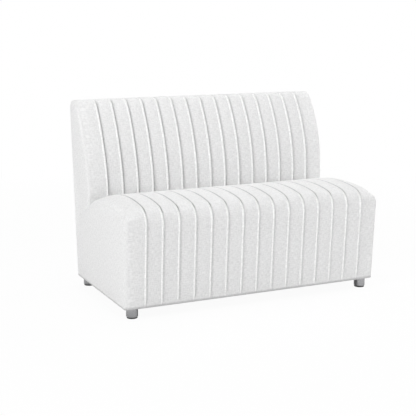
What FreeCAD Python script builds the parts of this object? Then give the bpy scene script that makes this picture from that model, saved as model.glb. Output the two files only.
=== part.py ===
import FreeCAD, Part
import Sketcher
import math
import os
import re

from FreeCAD import Placement, Rotation, Vector

# Channel-tufted dining bench with a padded back.
# Millimetres. X is the width, Y runs from front to rear, Z is up.
# The origin is on the floor under the middle of the bench.

# Driving dimensions
SIZES = {
    # overall size
    "overall_width": 1219.2,
    "overall_depth": 711.2,
    "overall_height": 863.6,
    # outline of the seat, seen from the side
    "seat_height": 481,
    "seat_depth": 478,
    "seat_roll_radius": 70,
    "seat_crown_radius": 820,
    "crest_setback": 205,
    "front_lean_deg": 3.5,
    "crease_fall_deg": 43,
    "tuck_lead": 14,
    "tuck_fade_deg": 3,
    # outline of the back, seen from the side
    "rake_deg": 4.2,
    "back_plumb_height": 450,
    "back_roll_radius": 62,
    "back_top_flat": 18,
    "corner_core": 8,
    # sewn channels and edges
    "channel_count": 16,
    "end_channel_width": 61.2,
    "channel_crown": 2.5,
    "ridge_height": 3.5,
    "ridge_width": 9,
    "edge_radius": 30,
    # cloth, padding and boards
    "cover_thickness": 2.5,
    "outside_cover_thickness": 2,
    "dust_cover_thickness": 1,
    "soft_clearance": 0.3,
    "front_pad_thickness": 14,
    "seat_foam_thickness": 92,
    "insulator_thickness": 4,
    "board_thickness": 3,
    "panel_thickness": 12,
    # seat frame
    "sill_width": 70,
    "sill_thickness": 25,
    "post_width": 45,
    "spring_rail_height": 60,
    "spring_rail_depth": 45,
    "side_rail_height": 70,
    "side_rail_thickness": 30,
    "rear_rail_setback": 62,
    "corner_block_leg": 60,
    # seat springs
    "spring_count": 8,
    "spring_end_margin": 86,
    "spring_wire": 4,
    "spring_width": 50,
    "spring_pitch": 24,
    "clip_height": 6,
    "clip_width": 16,
    "clip_depth": 12,
    "tie_count": 2,
    "tie_wire": 3,
    "tie_gap": 0.1,
    # back frame
    "back_frame_depth": 45,
    "back_rail_height": 60,
    "back_stile_width": 45,
    "back_stile_spacing": 380,
    "tack_rail_height": 365,
    "lower_rail_height": 90,
    "top_rail_drop": 4,
    "webbing_count": 5,
    "webbing_width": 50,
    "webbing_thickness": 2,
    "webbing_start": 440,
    "webbing_margin": 20,
    # feet
    "foot_height": 44,
    "foot_diameter": 50,
    "foot_edge": 3,
    "foot_inset_side": 46,
    "foot_inset_front": 38,
    "foot_inset_rear": 32,
    "glide_height": 4,
    "glide_diameter": 45,
    "glide_spigot_diameter": 30,
    "glide_spigot_height": 8,
    "gasket_height": 2,
    "stud_diameter": 8,
    "stud_in_foot": 18,
    "tee_flange_diameter": 20,
    "tee_flange_thickness": 1.5,
    "tee_barrel_diameter": 11,
    "tee_barrel_length": 14,
    # fasteners
    "bolt_diameter": 8,
    "bolt_length": 95,
    "bolt_head_diameter": 14,
    "bolt_head_height": 6,
    "bolt_margin": 11,
    "bolt_spacing": 24,
    "bolt_sink": 12,
    "washer_diameter": 20,
    "washer_thickness": 2,
    "barrel_nut_diameter": 14,
    "barrel_nut_length": 22,
    "barrel_nut_depth": 32,
    "dowel_diameter": 10,
    "dowel_length": 50,
    "screw_diameter": 5,
    "screw_length": 85,
    "screw_head_diameter": 10,
    "screw_head_height": 3,
    "staple_crown": 12,
    "staple_wire": 1,
    "staple_leg": 9,
    "staple_margin": 12,
    "staple_spacing": 82,
}

# Heights, faces and centres that follow from the driving dimensions
PLACES = {
    "half_width": "overall_width / 2",
    "skin": "cover_thickness + soft_clearance",
    "front_y": "ridge_height - overall_depth / 2",
    "top_z": "overall_height - ridge_height",
    "seam_x": "half_width - edge_radius",
    "channel_pitch": "2 * (seam_x - end_channel_width) / (channel_count - 2)",
    # rear face: a raked plane that rolls into the top over the rear corner
    "rear_skin": "outside_cover_thickness + soft_clearance",
    "corner_radius": "edge_radius + rear_skin + corner_core",
    "corner_y": "overall_depth / 2 - corner_radius",
    "corner_z": "top_z - corner_radius",
    "rear_base_y": "corner_y + (corner_radius + (foot_height - corner_z) * sin(rake_deg)) / cos(rake_deg)",
    "slope_top": "(corner_z - corner_radius * sin(rake_deg) - foot_height) / cos(rake_deg)",
    # front face: a line that leans out and rolls into the crowned seat
    "roll_y": "front_y + seat_roll_radius",
    "crest_y": "front_y + crest_setback",
    "crown_z": "seat_height - seat_crown_radius",
    "roll_z": "crown_z + sqrt((seat_crown_radius - seat_roll_radius) ^ 2 - (crest_y - roll_y) ^ 2)",
    "front_base_y": "roll_y - (seat_roll_radius + (foot_height - roll_z) * sin(front_lean_deg))"
    " / cos(front_lean_deg)",
    "back_front_y": "front_y + seat_depth",
    # seat frame
    "frame_half": "seam_x",
    "frame_front": "front_base_y + skin / cos(front_lean_deg) + front_pad_thickness",
    "panel_rear": "frame_front + panel_thickness",
    "panel_half": "frame_half - panel_thickness",
    "sill_z": "foot_height + dust_cover_thickness",
    "sill_top": "sill_z + sill_thickness",
    "foam_z": "seat_height - skin - seat_foam_thickness",
    "deck_z": "foam_z - insulator_thickness - clip_height",
    "rail_z": "deck_z - spring_rail_height",
    "side_rail_z": "rail_z - side_rail_height",
    "rear_rail_rear": "back_front_y + rear_rail_setback",
    "rear_rail_front": "rear_rail_rear - spring_rail_depth",
    "front_rail_rear": "panel_rear + spring_rail_depth",
    # back frame: depths are measured square to the rear face
    "board_front_in": "rear_skin + board_thickness",
    "frame_front_in": "board_front_in + back_frame_depth",
    "frame_top": "slope_top - top_rail_drop",
    "sill_rear": "rear_base_y + (sill_z - foot_height) * tan(rake_deg) - board_front_in / cos(rake_deg)",
    "post_front": "rear_base_y + (sill_top - foot_height) * tan(rake_deg) - frame_front_in / cos(rake_deg)",
    "post_half": "panel_half - side_rail_thickness",
    "bolt_x": "panel_half - side_rail_thickness / 2",
    "spring_spacing": "2 * (panel_half - spring_end_margin) / (spring_count - 1)",
    # feet
    "foot_x": "half_width - foot_inset_side",
    "foot_front_y": "front_base_y + foot_inset_front",
    "foot_rear_y": "rear_base_y - foot_inset_rear",
}

doc = FreeCAD.newDocument("channel_bench")


def named(text):
    """An expression with every size and place written as its sheet's cell."""
    def cell(found):
        word = found.group(0)
        if word in SIZES:
            return "Sizes." + word
        return "Places." + word if word in PLACES else word
    return re.sub(r"[a-z]\w+", cell, text)


def fill_sheet(name, rows):
    """A spreadsheet with one aliased cell for each row."""
    made = doc.addObject("Spreadsheet::Sheet", name)
    for number, (alias, content) in enumerate(rows.items(), 1):
        made.set(f"A{number}", alias)
        made.set(f"B{number}", content)
        made.setAlias(f"B{number}", alias)
    return made


sizes = fill_sheet("Sizes", {alias: str(value) for alias, value in SIZES.items()})
places = fill_sheet("Places", {alias: "=" + named(text) for alias, text in PLACES.items()})
doc.recompute()


def val(text):
    """The number that an expression gives now."""
    return float(sizes.evalExpression(named(text)))


nodes = []


def node(item, label):
    """Keeps an object as one of the bench's named pieces."""
    item.Label = label
    nodes.append(item)
    return item


def bind(item, **expressions):
    """Ties properties of an object to sizes and places."""
    for prop, text in expressions.items():
        item.setExpression(prop.replace("__", "."), named(text))
    return item


def at(item, x, y, z):
    """Ties an object's position to three expressions."""
    return bind(item, Placement__Base__x=x, Placement__Base__y=y, Placement__Base__z=z)


def box(name, x, y, z):
    """A block between two expressions on each axis."""
    made = doc.addObject("Part::Box", name)
    bind(made, Length=f"({x[1]}) - ({x[0]})", Width=f"({y[1]}) - ({y[0]})", Height=f"({z[1]}) - ({z[0]})")
    return at(made, x[0], y[0], z[0])


def raked_box(name, x, depth, slope):
    """A block in the raked back: depth runs in from the rear face, slope runs up along it from the base."""
    made = doc.addObject("Part::Box", name)
    made.Placement = Placement(Vector(), Rotation(Vector(-1, 0, 0), SIZES["rake_deg"]))
    bind(made, Length=f"({x[1]}) - ({x[0]})", Width=f"({depth[1]}) - ({depth[0]})",
         Height=f"({slope[1]}) - ({slope[0]})", Placement__Rotation__Angle="rake_deg")
    return at(made, x[0],
              f"rear_base_y + ({slope[0]}) * sin(rake_deg) - ({depth[1]}) * cos(rake_deg)",
              f"foot_height + ({slope[0]}) * cos(rake_deg) + ({depth[1]}) * sin(rake_deg)")


ALONG = {"x": Rotation(Vector(0, 1, 0), 90), "y": Rotation(Vector(1, 0, 0), -90), "z": Rotation()}


def rod(name, axis, diameter, length, x, y, z):
    """A cylinder that starts at a point and runs along one axis."""
    made = doc.addObject("Part::Cylinder", name)
    made.Placement = Placement(Vector(), ALONG[axis])
    bind(made, Radius=f"({diameter}) / 2", Height=length)
    return at(made, x, y, z)


def joined(name, *items):
    """Several overlapping shapes as one solid."""
    made = doc.addObject("Part::MultiFuse", name)
    made.Shapes = list(items)
    return made


def group(name, items):
    """Separate solids kept together."""
    made = doc.addObject("Part::Compound", name)
    made.Links = list(items)
    return made


def cut(name, base, *tools):
    """A solid with the room taken out for what sits in it."""
    made = doc.addObject("Part::Cut", name)
    made.Base = base
    made.Tool = tools[0] if len(tools) == 1 else group(name + "_room", tools)
    return made


def outline_body(name, plane, points):
    """A body with one closed sketch, each of its corners tied to a pair of expressions."""
    body = doc.addObject("PartDesign::Body", name)
    sketch = body.newObject("Sketcher::SketchObject", name + "_outline")
    origin = [feature for feature in body.Origin.OriginFeatures if feature.Role == plane][0]
    sketch.AttachmentSupport = [(origin, "")]
    sketch.MapMode = "FlatFace"
    corners = [Vector(val(first), val(second), 0) for first, second in points]
    for index, corner in enumerate(corners):
        sketch.addGeometry(Part.LineSegment(corner, corners[(index + 1) % len(corners)]), False)
    for index in range(len(corners)):
        following = (index + 1) % len(corners)
        sketch.addConstraint(Sketcher.Constraint("Coincident", index, 2, following, 1))
    for index, (first, second) in enumerate(points):
        for kind, text, number in (("DistanceX", first, corners[index].x),
                                   ("DistanceY", second, corners[index].y)):
            place = sketch.addConstraint(Sketcher.Constraint(kind, -1, 1, index, 1, number))
            sketch.setExpression(f"Constraints[{place}]", named(text))
    return body, sketch


def board(name, points, x):
    """A board cut to an outline in the side view, its thickness along X."""
    body, sketch = outline_body(name, "YZ_Plane", points)
    pad = body.newObject("PartDesign::Pad", name + "_pad")
    pad.Profile = sketch
    bind(pad, Length=f"({x[1]}) - ({x[0]})")
    return bind(body, Placement__Base__x=x[0])


def turned(name, points):
    """A turned piece: an outline of radius and height, spun about the upright axis."""
    body, sketch = outline_body(name, "XZ_Plane", points)
    spin = body.newObject("PartDesign::Revolution", name + "_spin")
    spin.Profile = sketch
    spin.ReferenceAxis = (sketch, ["V_Axis"])
    spin.Angle = 360
    return body


SIDES = {"left": -1, "right": 1}


def side_span(side, inner, outer):
    """The X range of a piece that lies between two distances from the middle, on one side."""
    return (f"-({outer})", f"-({inner})") if side == "left" else (inner, outer)


def side_at(side, distance):
    """A distance from the middle, as an X place on one side."""
    return f"-({distance})" if side == "left" else distance


# Feet: a turned metal shell, a gasket above it, a glide below it and a stud up into the sill
FEET = [(end, side) for end in ("front", "rear") for side in SIDES]


def foot_spot(end, side):
    """The middle of a foot, as a pair of expressions."""
    return side_at(side, "foot_x"), f"foot_{end}_y"


studs = []
tee_nuts = []
glides = []
gaskets = []
shells = {}
for end, side in FEET:
    spot = foot_spot(end, side)
    tag = f"{end}_{side}"
    stud_z = "foot_height - gasket_height - stud_in_foot"
    stud = rod(f"stud_{tag}", "z", "stud_diameter", f"sill_top - tee_flange_thickness - ({stud_z})", *spot, stud_z)
    flange = rod(f"tee_flange_{tag}", "z", "tee_flange_diameter", "tee_flange_thickness",
                 *spot, "sill_top - tee_flange_thickness")
    barrel = rod(f"tee_barrel_{tag}", "z", "tee_barrel_diameter", "tee_barrel_length",
                 *spot, "sill_top - tee_barrel_length")
    pad = rod(f"glide_pad_{tag}", "z", "glide_diameter", "glide_height", *spot, "0")
    spigot = rod(f"glide_spigot_{tag}", "z", "glide_spigot_diameter", "glide_height + glide_spigot_height",
                 *spot, "0")
    ring = rod(f"gasket_disc_{tag}", "z", "foot_diameter", "gasket_height", *spot, "foot_height - gasket_height")
    studs.append(stud)
    tee_nuts.append(cut(f"tee_nut_{tag}", joined(f"tee_blank_{tag}", flange, barrel), stud))
    glides.append(joined(f"glide_{tag}", pad, spigot))
    gaskets.append(cut(f"gasket_{tag}", ring, stud))
    shells[tag] = turned(f"foot_blank_{tag}", [
        ("0", "glide_height + glide_spigot_height"),
        ("glide_spigot_diameter / 2", "glide_height + glide_spigot_height"),
        ("glide_spigot_diameter / 2", "glide_height"),
        ("foot_diameter / 2 - foot_edge", "glide_height"),
        ("foot_diameter / 2", "glide_height + foot_edge"),
        ("foot_diameter / 2", "foot_height - gasket_height"),
        ("stud_diameter / 2", "foot_height - gasket_height"),
        ("stud_diameter / 2", stud_z),
        ("0", stud_z),
    ])
    at(shells[tag], *spot, "0")
    node(shells[tag], f"foot_{tag}")
stud_group = node(group("studs", studs), "foot_studs")
tee_group = node(group("tee_nuts", tee_nuts), "foot_tee_nuts")
node(group("glides", glides), "foot_glides")
node(group("gaskets", gaskets), "foot_gaskets")


# Staples along the edges of the dust cover, each a bent wire with two legs up into a sill
def staple(x, y, along_x):
    """A staple's crown and legs as one bent strip, its crown along X or along Y."""
    half, wire = val("staple_crown / 2"), val("staple_wire")
    low, under, tip = val("foot_height") - wire, val("foot_height"), val("foot_height + staple_leg")
    outline = [(-half, low), (half, low), (half, tip), (half - wire, tip), (half - wire, under),
               (wire - half, under), (wire - half, tip), (-half, tip)]
    corners = [Vector(run, -wire / 2, height) for run, height in outline]
    strip = Part.Face(Part.makePolygon(corners + corners[:1])).extrude(Vector(0, wire, 0))
    if not along_x:
        strip.rotate(Vector(), Vector(0, 0, 1), 90)
    return strip.translated(Vector(x, y, 0))


def spread(start, end, spacing):
    """Evenly spaced places from start to end, about one spacing apart."""
    count = max(2, round((end - start) / spacing) + 1)
    return [start + (end - start) * index / (count - 1) for index in range(count)]


def staple_places():
    """The middle of each staple and whether its crown runs along X."""
    side_x = val("frame_half - staple_margin")
    inside_x = val("frame_half - sill_width - staple_crown")
    front, rear = val("frame_front + staple_margin"), val("sill_rear - staple_margin")
    inside_front = val("frame_front + sill_width + staple_crown")
    inside_rear = val("sill_rear - sill_width - staple_crown")
    spacing = val("staple_spacing")
    rows = [(x, y, True) for y in (front, rear) for x in spread(-inside_x, inside_x, spacing)]
    return rows + [(x, y, False) for x in (-side_x, side_x) for y in spread(inside_front, inside_rear, spacing)]


staples = node(doc.addObject("Part::Feature", "staples"), "dust_cover_staples")
staples.Shape = Part.makeCompound([staple(*place) for place in staple_places()])


# Base sills laid flat, dowelled at their joints, bored for the tee nuts
inner_sill_y = ("frame_front + sill_width", "sill_rear - sill_width")
SILL_X = {
    "left": ("-frame_half", "sill_width - frame_half"),
    "centre": ("-sill_width / 2", "sill_width / 2"),
    "right": ("frame_half - sill_width", "frame_half"),
}
DOWEL_SHARES = (0.25, 0.75)
sill_dowels = []
for sill, span in SILL_X.items():
    for end, joint in zip(("front", "rear"), inner_sill_y):
        for share in DOWEL_SHARES:
            sill_dowels.append(rod(
                f"sill_dowel_{sill}_{end}_{round(share * 100)}", "y", "dowel_diameter", "dowel_length",
                f"{span[0]} + sill_width * {share}", f"{joint} - dowel_length / 2",
                "sill_z + sill_thickness / 2"))
sill_dowel_group = group("sill_dowels", sill_dowels)

sill_z = ("sill_z", "sill_top")
across = ("-frame_half", "frame_half")
front_sill = box("front_sill_blank", across, ("frame_front", "frame_front + sill_width"), sill_z)
rear_sill = box("rear_sill_blank", across, ("sill_rear - sill_width", "sill_rear"), sill_z)
node(cut("front_sill", front_sill, sill_dowel_group, tee_group, stud_group, staples), "front_sill")
node(cut("rear_sill", rear_sill, sill_dowel_group, tee_group, stud_group, staples), "rear_sill")
for sill, span in SILL_X.items():
    blank = box(f"{sill}_sill_blank", span, inner_sill_y, sill_z)
    node(cut(f"{sill}_sill", blank, sill_dowel_group, staples), f"{sill}_sill")

dust_sheet = box("dust_sheet", across, ("frame_front", "sill_rear"), ("foot_height", "sill_z"))
node(cut("dust_cover", dust_sheet, stud_group, staples), "dust_cover")

# Seat frame: plywood panels, posts, side rails, spring rails and corner blocks
node(box("front_panel", across, ("frame_front", "panel_rear"), ("sill_top", "deck_z")), "front_panel")
for side in SIDES:
    node(board(f"{side}_side_panel", [
        ("panel_rear", "sill_top"),
        ("post_front", "sill_top"),
        ("post_front", "rail_z"),
        ("rear_rail_rear", "deck_z"),
        ("panel_rear", "deck_z"),
    ], side_span(side, "panel_half", "frame_half")), f"{side}_side_panel")

front_rail_y = ("panel_rear", "front_rail_rear")
rear_rail_y = ("rear_rail_front", "rear_rail_rear")
middle_post = ("-post_width / 2", "post_width / 2")
post_z = ("sill_top", "side_rail_z")
for side in SIDES:
    span = side_span(side, "panel_half - post_width", "panel_half")
    node(box(f"front_post_{side}", span, front_rail_y, post_z), f"front_post_{side}")
node(box("centre_front_post", middle_post, front_rail_y, post_z), "centre_front_post")
node(box("centre_rear_post", middle_post, rear_rail_y, post_z), "centre_rear_post")

screws = []
for rail, span in (("front", front_rail_y), ("rear", rear_rail_y)):
    middle = f"({span[0]} + {span[1]}) / 2"
    for spot, x in (("left", "-bolt_x"), ("centre", "0"), ("right", "bolt_x")):
        shank = rod(f"screw_shank_{rail}_{spot}", "z", "screw_diameter", "screw_length",
                    x, middle, "deck_z - screw_length")
        head = doc.addObject("Part::Cone", f"screw_head_{rail}_{spot}")
        bind(head, Radius1="screw_diameter / 2", Radius2="screw_head_diameter / 2", Height="screw_head_height")
        at(head, x, middle, "deck_z - screw_head_height")
        screws.append(joined(f"screw_{rail}_{spot}", shank, head))
screw_group = node(group("screws", screws), "rail_screws")

# Knock-down bolts through the back posts into barrel nuts in the side rails
BOLT_ROWS = {
    "low": "side_rail_z + bolt_margin",
    "high": "side_rail_z + bolt_margin + bolt_spacing",
}
bolts = []
washers = []
nuts = []
sinks = []
for side in SIDES:
    x = side_at(side, "bolt_x")
    for row, z in BOLT_ROWS.items():
        tag = f"{side}_{row}"
        post_rear = f"rear_base_y + ({z} - foot_height) * tan(rake_deg) - board_front_in / cos(rake_deg)"
        seat = f"{post_rear} - bolt_sink"
        nut_y = "post_front - barrel_nut_depth"
        shank = rod(f"bolt_shank_{tag}", "y", "bolt_diameter", "bolt_length",
                    x, f"{seat} + washer_thickness - bolt_length", z)
        head = rod(f"bolt_head_{tag}", "y", "bolt_head_diameter", "bolt_head_height",
                   x, f"{seat} + washer_thickness", z)
        disc = rod(f"washer_disc_{tag}", "y", "washer_diameter", "washer_thickness", x, seat, z)
        barrel = rod(f"barrel_{tag}", "x", "barrel_nut_diameter", "barrel_nut_length",
                     f"{x} - barrel_nut_length / 2", nut_y, z)
        bolts.append(joined(f"bolt_{tag}", shank, head))
        washers.append(cut(f"washer_{tag}", disc, shank))
        nuts.append(cut(f"nut_{tag}", barrel, shank))
        sinks.append(rod(f"sink_{tag}", "y", "washer_diameter", "bolt_sink * 2", x, seat, z))
        sinks.append(shank)
bolt_group = node(group("bolts", bolts), "knockdown_bolts")
node(group("washers", washers), "bolt_washers")
nut_group = node(group("nuts", nuts), "barrel_nuts")
sink_group = group("bolt_room", sinks)

for side in SIDES:
    blank = box(f"{side}_side_rail_blank", side_span(side, "post_half", "panel_half"),
                ("panel_rear", "post_front"), ("side_rail_z", "rail_z"))
    node(cut(f"{side}_side_rail", blank, bolt_group, nut_group, screw_group), f"{side}_side_rail")
centre_rail = box("centre_rail_blank", ("-side_rail_thickness / 2", "side_rail_thickness / 2"),
                  ("panel_rear", "rear_rail_rear"), ("side_rail_z", "rail_z"))
node(cut("centre_rail", centre_rail, screw_group), "centre_rail")
for rail, span in (("front", front_rail_y), ("rear", rear_rail_y)):
    blank = box(f"{rail}_spring_rail_blank", ("-panel_half", "panel_half"), span, ("rail_z", "deck_z"))
    node(cut(f"{rail}_spring_rail", blank, screw_group), f"{rail}_spring_rail")


def corner_block(side, rail):
    """A three-cornered block between a spring rail and a side panel."""
    wall = val(side_at(side, "panel_half"))
    face = val("front_rail_rear" if rail == "front" else "rear_rail_front")
    leg = val("corner_block_leg")
    inward = -SIDES[side] * leg
    away = leg if rail == "front" else -leg
    corners = [Vector(wall, face, val("rail_z")), Vector(wall + inward, face, val("rail_z")),
               Vector(wall, face + away, val("rail_z"))]
    return Part.Face(Part.makePolygon(corners + corners[:1])).extrude(Vector(0, 0, val("spring_rail_height")))


blocks = node(doc.addObject("Part::Feature", "blocks"), "corner_blocks")
blocks.Shape = Part.makeCompound([corner_block(side, rail) for side in SIDES for rail in ("front", "rear")])

# Back frame: raked posts, rails, stiles, webbing and the board behind
post_step = "rear_base_y + (rail_z - foot_height) * tan(rake_deg) - frame_front_in / cos(rake_deg)"
post_foot = "rear_base_y + (sill_top - foot_height) * tan(rake_deg) - board_front_in / cos(rake_deg)"
post_outline = [
    ("post_front", "sill_top"),
    ("post_front", "rail_z"),
    (post_step, "rail_z"),
    ("rear_base_y + frame_top * sin(rake_deg) - frame_front_in * cos(rake_deg)",
     "foot_height + frame_top * cos(rake_deg) + frame_front_in * sin(rake_deg)"),
    ("rear_base_y + frame_top * sin(rake_deg) - board_front_in * cos(rake_deg)",
     "foot_height + frame_top * cos(rake_deg) + board_front_in * sin(rake_deg)"),
    (post_foot, "sill_top"),
]
frame_depth = ("board_front_in", "frame_front_in")
BACK_RAILS = {
    "lower": "lower_rail_height",
    "tack": "tack_rail_height",
    "top": "frame_top - back_rail_height",
}


def back_dowel(rail, slope, side, share):
    """A dowel that runs from the end of a back rail into the post beside it."""
    made = doc.addObject("Part::Cylinder", f"back_dowel_{rail}_{side}_{round(share * 100)}")
    made.Placement = Placement(Vector(), ALONG["x"])
    bind(made, Radius="dowel_diameter / 2", Height="dowel_length")
    up = f"({slope} + back_rail_height * {share})"
    depth = "(board_front_in + back_frame_depth / 2)"
    return at(made, f"{side_at(side, 'post_half')} - dowel_length / 2",
              f"rear_base_y + {up} * sin(rake_deg) - {depth} * cos(rake_deg)",
              f"foot_height + {up} * cos(rake_deg) + {depth} * sin(rake_deg)")


back_dowel_group = group("back_dowels", [
    back_dowel(rail, slope, side, share)
    for rail, slope in BACK_RAILS.items() for side in SIDES for share in DOWEL_SHARES])
node(group("dowels", [sill_dowel_group, back_dowel_group]), "frame_dowels")

for side in SIDES:
    blank = board(f"back_post_blank_{side}", post_outline, side_span(side, "post_half", "frame_half"))
    node(cut(f"back_post_{side}", blank, sink_group, back_dowel_group), f"back_post_{side}")
for rail, slope in BACK_RAILS.items():
    blank = raked_box(f"back_{rail}_rail_blank", ("-post_half", "post_half"), frame_depth,
                      (slope, f"{slope} + back_rail_height"))
    node(cut(f"back_{rail}_rail", blank, back_dowel_group), f"back_{rail}_rail")
for side in SIDES:
    span = side_span(side, "(back_stile_spacing - back_stile_width) / 2",
                     "(back_stile_spacing + back_stile_width) / 2")
    node(raked_box(f"back_stile_{side}", span, frame_depth,
                   ("tack_rail_height + back_rail_height", "frame_top - back_rail_height")), f"back_stile_{side}")

straps = []
for index in range(int(SIZES["webbing_count"])):
    step = "(frame_top - webbing_margin - webbing_width - webbing_start) / (webbing_count - 1)"
    foot = f"webbing_start + {index} * {step}"
    straps.append(raked_box(f"strap_{index}", across, ("frame_front_in", "frame_front_in + webbing_thickness"),
                            (foot, f"{foot} + webbing_width")))
node(group("straps", straps), "back_webbing")
node(raked_box("back_board", across, ("rear_skin", "board_front_in"), ("0", "frame_top")), "outside_back_board")
node(raked_box("back_sheet", ("-seam_x", "seam_x"), ("0", "outside_cover_thickness"), ("0", "slope_top")),
     "outside_back_cover")

# Seat springs: a wire that snakes from the front spring rail to the rear one, held by clips at both ends
spring_z = "deck_z + clip_height / 2"
first_run = "(panel_rear + front_rail_rear) / 2"
last_run = "(rear_rail_front + rear_rail_rear) / 2"


def spring_places():
    """The X place of each spring, spread evenly about the middle."""
    count = int(val("spring_count"))
    return [val("spring_spacing") * (index - (count - 1) / 2) for index in range(count)]


def spring_shape(x):
    """A round wire swept along straight runs across the seat and half turns between them."""
    start, end, height = val(first_run), val(last_run), val(spring_z)
    turns = round((end - start) / val("spring_pitch"))
    pitch = (end - start) / turns
    bend = pitch / 2
    reach = val("spring_width / 2") - bend
    edges = []
    side = 1
    for index in range(turns + 1):
        y = start + index * pitch
        edges.append(Part.makeLine(Vector(x - side * reach, y, height), Vector(x + side * reach, y, height)))
        if index < turns:
            hub = Vector(x + side * reach, y + bend, height)
            points = [hub + Vector(side * bend * math.sin(turn), -bend * math.cos(turn), 0)
                      for turn in (0, math.pi / 4, math.pi / 2, 3 * math.pi / 4, math.pi)]
            edges.append(Part.Arc(*points[:3]).toShape())
            edges.append(Part.Arc(*points[2:]).toShape())
        side = -side
    path = Part.Wire(edges)
    ring = Part.Wire(Part.makeCircle(val("spring_wire / 2"), Vector(x - reach, start, height), Vector(1, 0, 0)))
    return path.makePipeShell([ring], True, False)


springs = node(doc.addObject("Part::Feature", "springs"), "seat_springs")
springs.Shape = Part.makeCompound([spring_shape(x) for x in spring_places()])

clips = []
for index in range(int(SIZES["spring_count"])):
    x = f"(spring_spacing * ({index} - (spring_count - 1) / 2))"
    for end, run in (("front", first_run), ("rear", last_run)):
        tag = f"{index}_{end}"
        blank = box(f"clip_blank_{tag}", (f"{x} - clip_width / 2", f"{x} + clip_width / 2"),
                    (f"{run} - clip_depth / 2", f"{run} + clip_depth / 2"), ("deck_z", "deck_z + clip_height"))
        groove = rod(f"clip_groove_{tag}", "x", "spring_wire", "clip_width", f"{x} - clip_width / 2", run, spring_z)
        clips.append(cut(f"clip_{tag}", blank, groove))
node(group("clips", clips), "spring_clips")

tie_half = "(spring_spacing * (spring_count - 1) + spring_width) / 2"
tie_z = f"{spring_z} - (spring_wire + tie_wire) / 2 - tie_gap"
ties = []
for index in range(1, int(SIZES["tie_count"]) + 1):
    tie_y = f"front_rail_rear + (rear_rail_front - front_rail_rear) * {index} / (tie_count + 1)"
    ties.append(rod(f"tie_{index}", "x", "tie_wire", f"2 * {tie_half}", f"-{tie_half}", tie_y, tie_z))
node(group("ties", ties), "spring_tie_wires")
node(box("insulator", ("-panel_half", "panel_half"), ("panel_rear", "rear_rail_rear"),
         ("deck_z + clip_height", "foam_z")), "deck_insulator")


# Soft outlines in the side view. A point is (y, z). An angle turns from upright towards the rear.
RAKE = math.radians(val("rake_deg"))
LEAN = math.radians(val("front_lean_deg"))
BASE = val("foot_height")
SEAT_ROLL = (val("roll_y"), val("roll_z"))
SEAT_CROWN = (val("crest_y"), val("crown_z"))
ROLL_R = val("seat_roll_radius")
CROWN_R = val("seat_crown_radius")
CORNER = (val("corner_y"), val("corner_z"))
CORNER_R = val("corner_radius - rear_skin")


def on_circle(centre, radius, angle):
    """The point of a circle at an angle."""
    return centre[0] + radius * math.sin(angle), centre[1] + radius * math.cos(angle)


def angle_to(centre, point):
    """The angle at which a point is seen from a centre."""
    return math.atan2(point[0] - centre[0], point[1] - centre[1])


def rear_line_meets(centre, radius, inset):
    """Where the rear face, moved in by an inset, crosses a circle on its upper side."""
    start = (val("rear_base_y") - inset * math.cos(RAKE) - centre[0], BASE + inset * math.sin(RAKE) - centre[1])
    along = start[0] * math.sin(RAKE) + start[1] * math.cos(RAKE)
    run = -along + math.sqrt(along ** 2 - start[0] ** 2 - start[1] ** 2 + radius ** 2)
    return centre[0] + start[0] + run * math.sin(RAKE), centre[1] + start[1] + run * math.cos(RAKE)


def circles_meet(centre, radius, other, other_radius):
    """The upper of the two points where two circles cross."""
    dy, dz = other[0] - centre[0], other[1] - centre[1]
    apart = math.hypot(dy, dz)
    along = (radius ** 2 - other_radius ** 2 + apart ** 2) / (2 * apart)
    off = math.sqrt(radius ** 2 - along ** 2)
    return centre[0] + (along * dy - off * dz) / apart, centre[1] + (along * dz + off * dy) / apart


# Shoulder: the rear of the seat's top, on which the back sits. It leaves the crown smoothly just in front of
# the back, and its chord falls to the rear face at the crease angle.
TUCK = math.asin((val("back_front_y - tuck_lead") - SEAT_CROWN[0]) / CROWN_R)
TUCK_POINT = on_circle(SEAT_CROWN, CROWN_R, TUCK)
CREASE_FALL = math.radians(val("crease_fall_deg"))
REAR_AT_TUCK = val("rear_base_y - rear_skin / cos(rake_deg)") + (TUCK_POINT[1] - BASE) * math.tan(RAKE)
CHORD = (REAR_AT_TUCK - TUCK_POINT[0]) / (math.cos(CREASE_FALL) + math.sin(CREASE_FALL) * math.tan(RAKE))
SHOULDER_R = CHORD / (2 * math.sin(CREASE_FALL - TUCK))
SHOULDER = on_circle(TUCK_POINT, -SHOULDER_R, TUCK)
TUCK_FADE = TUCK + math.radians(val("tuck_fade_deg"))
TUCK_END = math.asin((val("rear_rail_rear") - SHOULDER[0]) / SHOULDER_R)
ROLL_END = angle_to(SEAT_CROWN, SEAT_ROLL)
ROLL_START = -math.pi / 2 - LEAN

# Back: a long arc that is plumb at the seat, then a roll over the top, a flat and the rear corner
BACK_ROLL_R = val("back_roll_radius")
BACK_ROLL = (val("corner_y - back_top_flat"), val("top_z - back_roll_radius"))
BACK_REACH = BACK_ROLL[0] - val("back_front_y")
BACK_RISE = BACK_ROLL[1] - val("back_plumb_height")
FACE_R = (BACK_REACH ** 2 + BACK_RISE ** 2 - BACK_ROLL_R ** 2) / (2 * (BACK_REACH - BACK_ROLL_R))
FACE = (val("back_front_y") + FACE_R, val("back_plumb_height"))
FACE_END = angle_to(FACE, BACK_ROLL)
CORNER_END = math.pi / 2 + RAKE


def arc(centre, radius, start, end):
    """An arc as its middle point and its end point."""
    return on_circle(centre, radius, (start + end) / 2), on_circle(centre, radius, end)


def loop(x, start, moves):
    """A closed wire at one X: each move is a line to one point, or an arc through two."""
    def spot(point):
        return Vector(x, point[0], point[1])
    edges = []
    here = start
    for move in moves:
        if len(move) == 1:
            edges.append(Part.makeLine(spot(here), spot(move[0])))
        else:
            edges.append(Part.Arc(spot(here), spot(move[0]), spot(move[1])).toShape())
        here = move[-1]
    return Part.Wire(edges)


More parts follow.
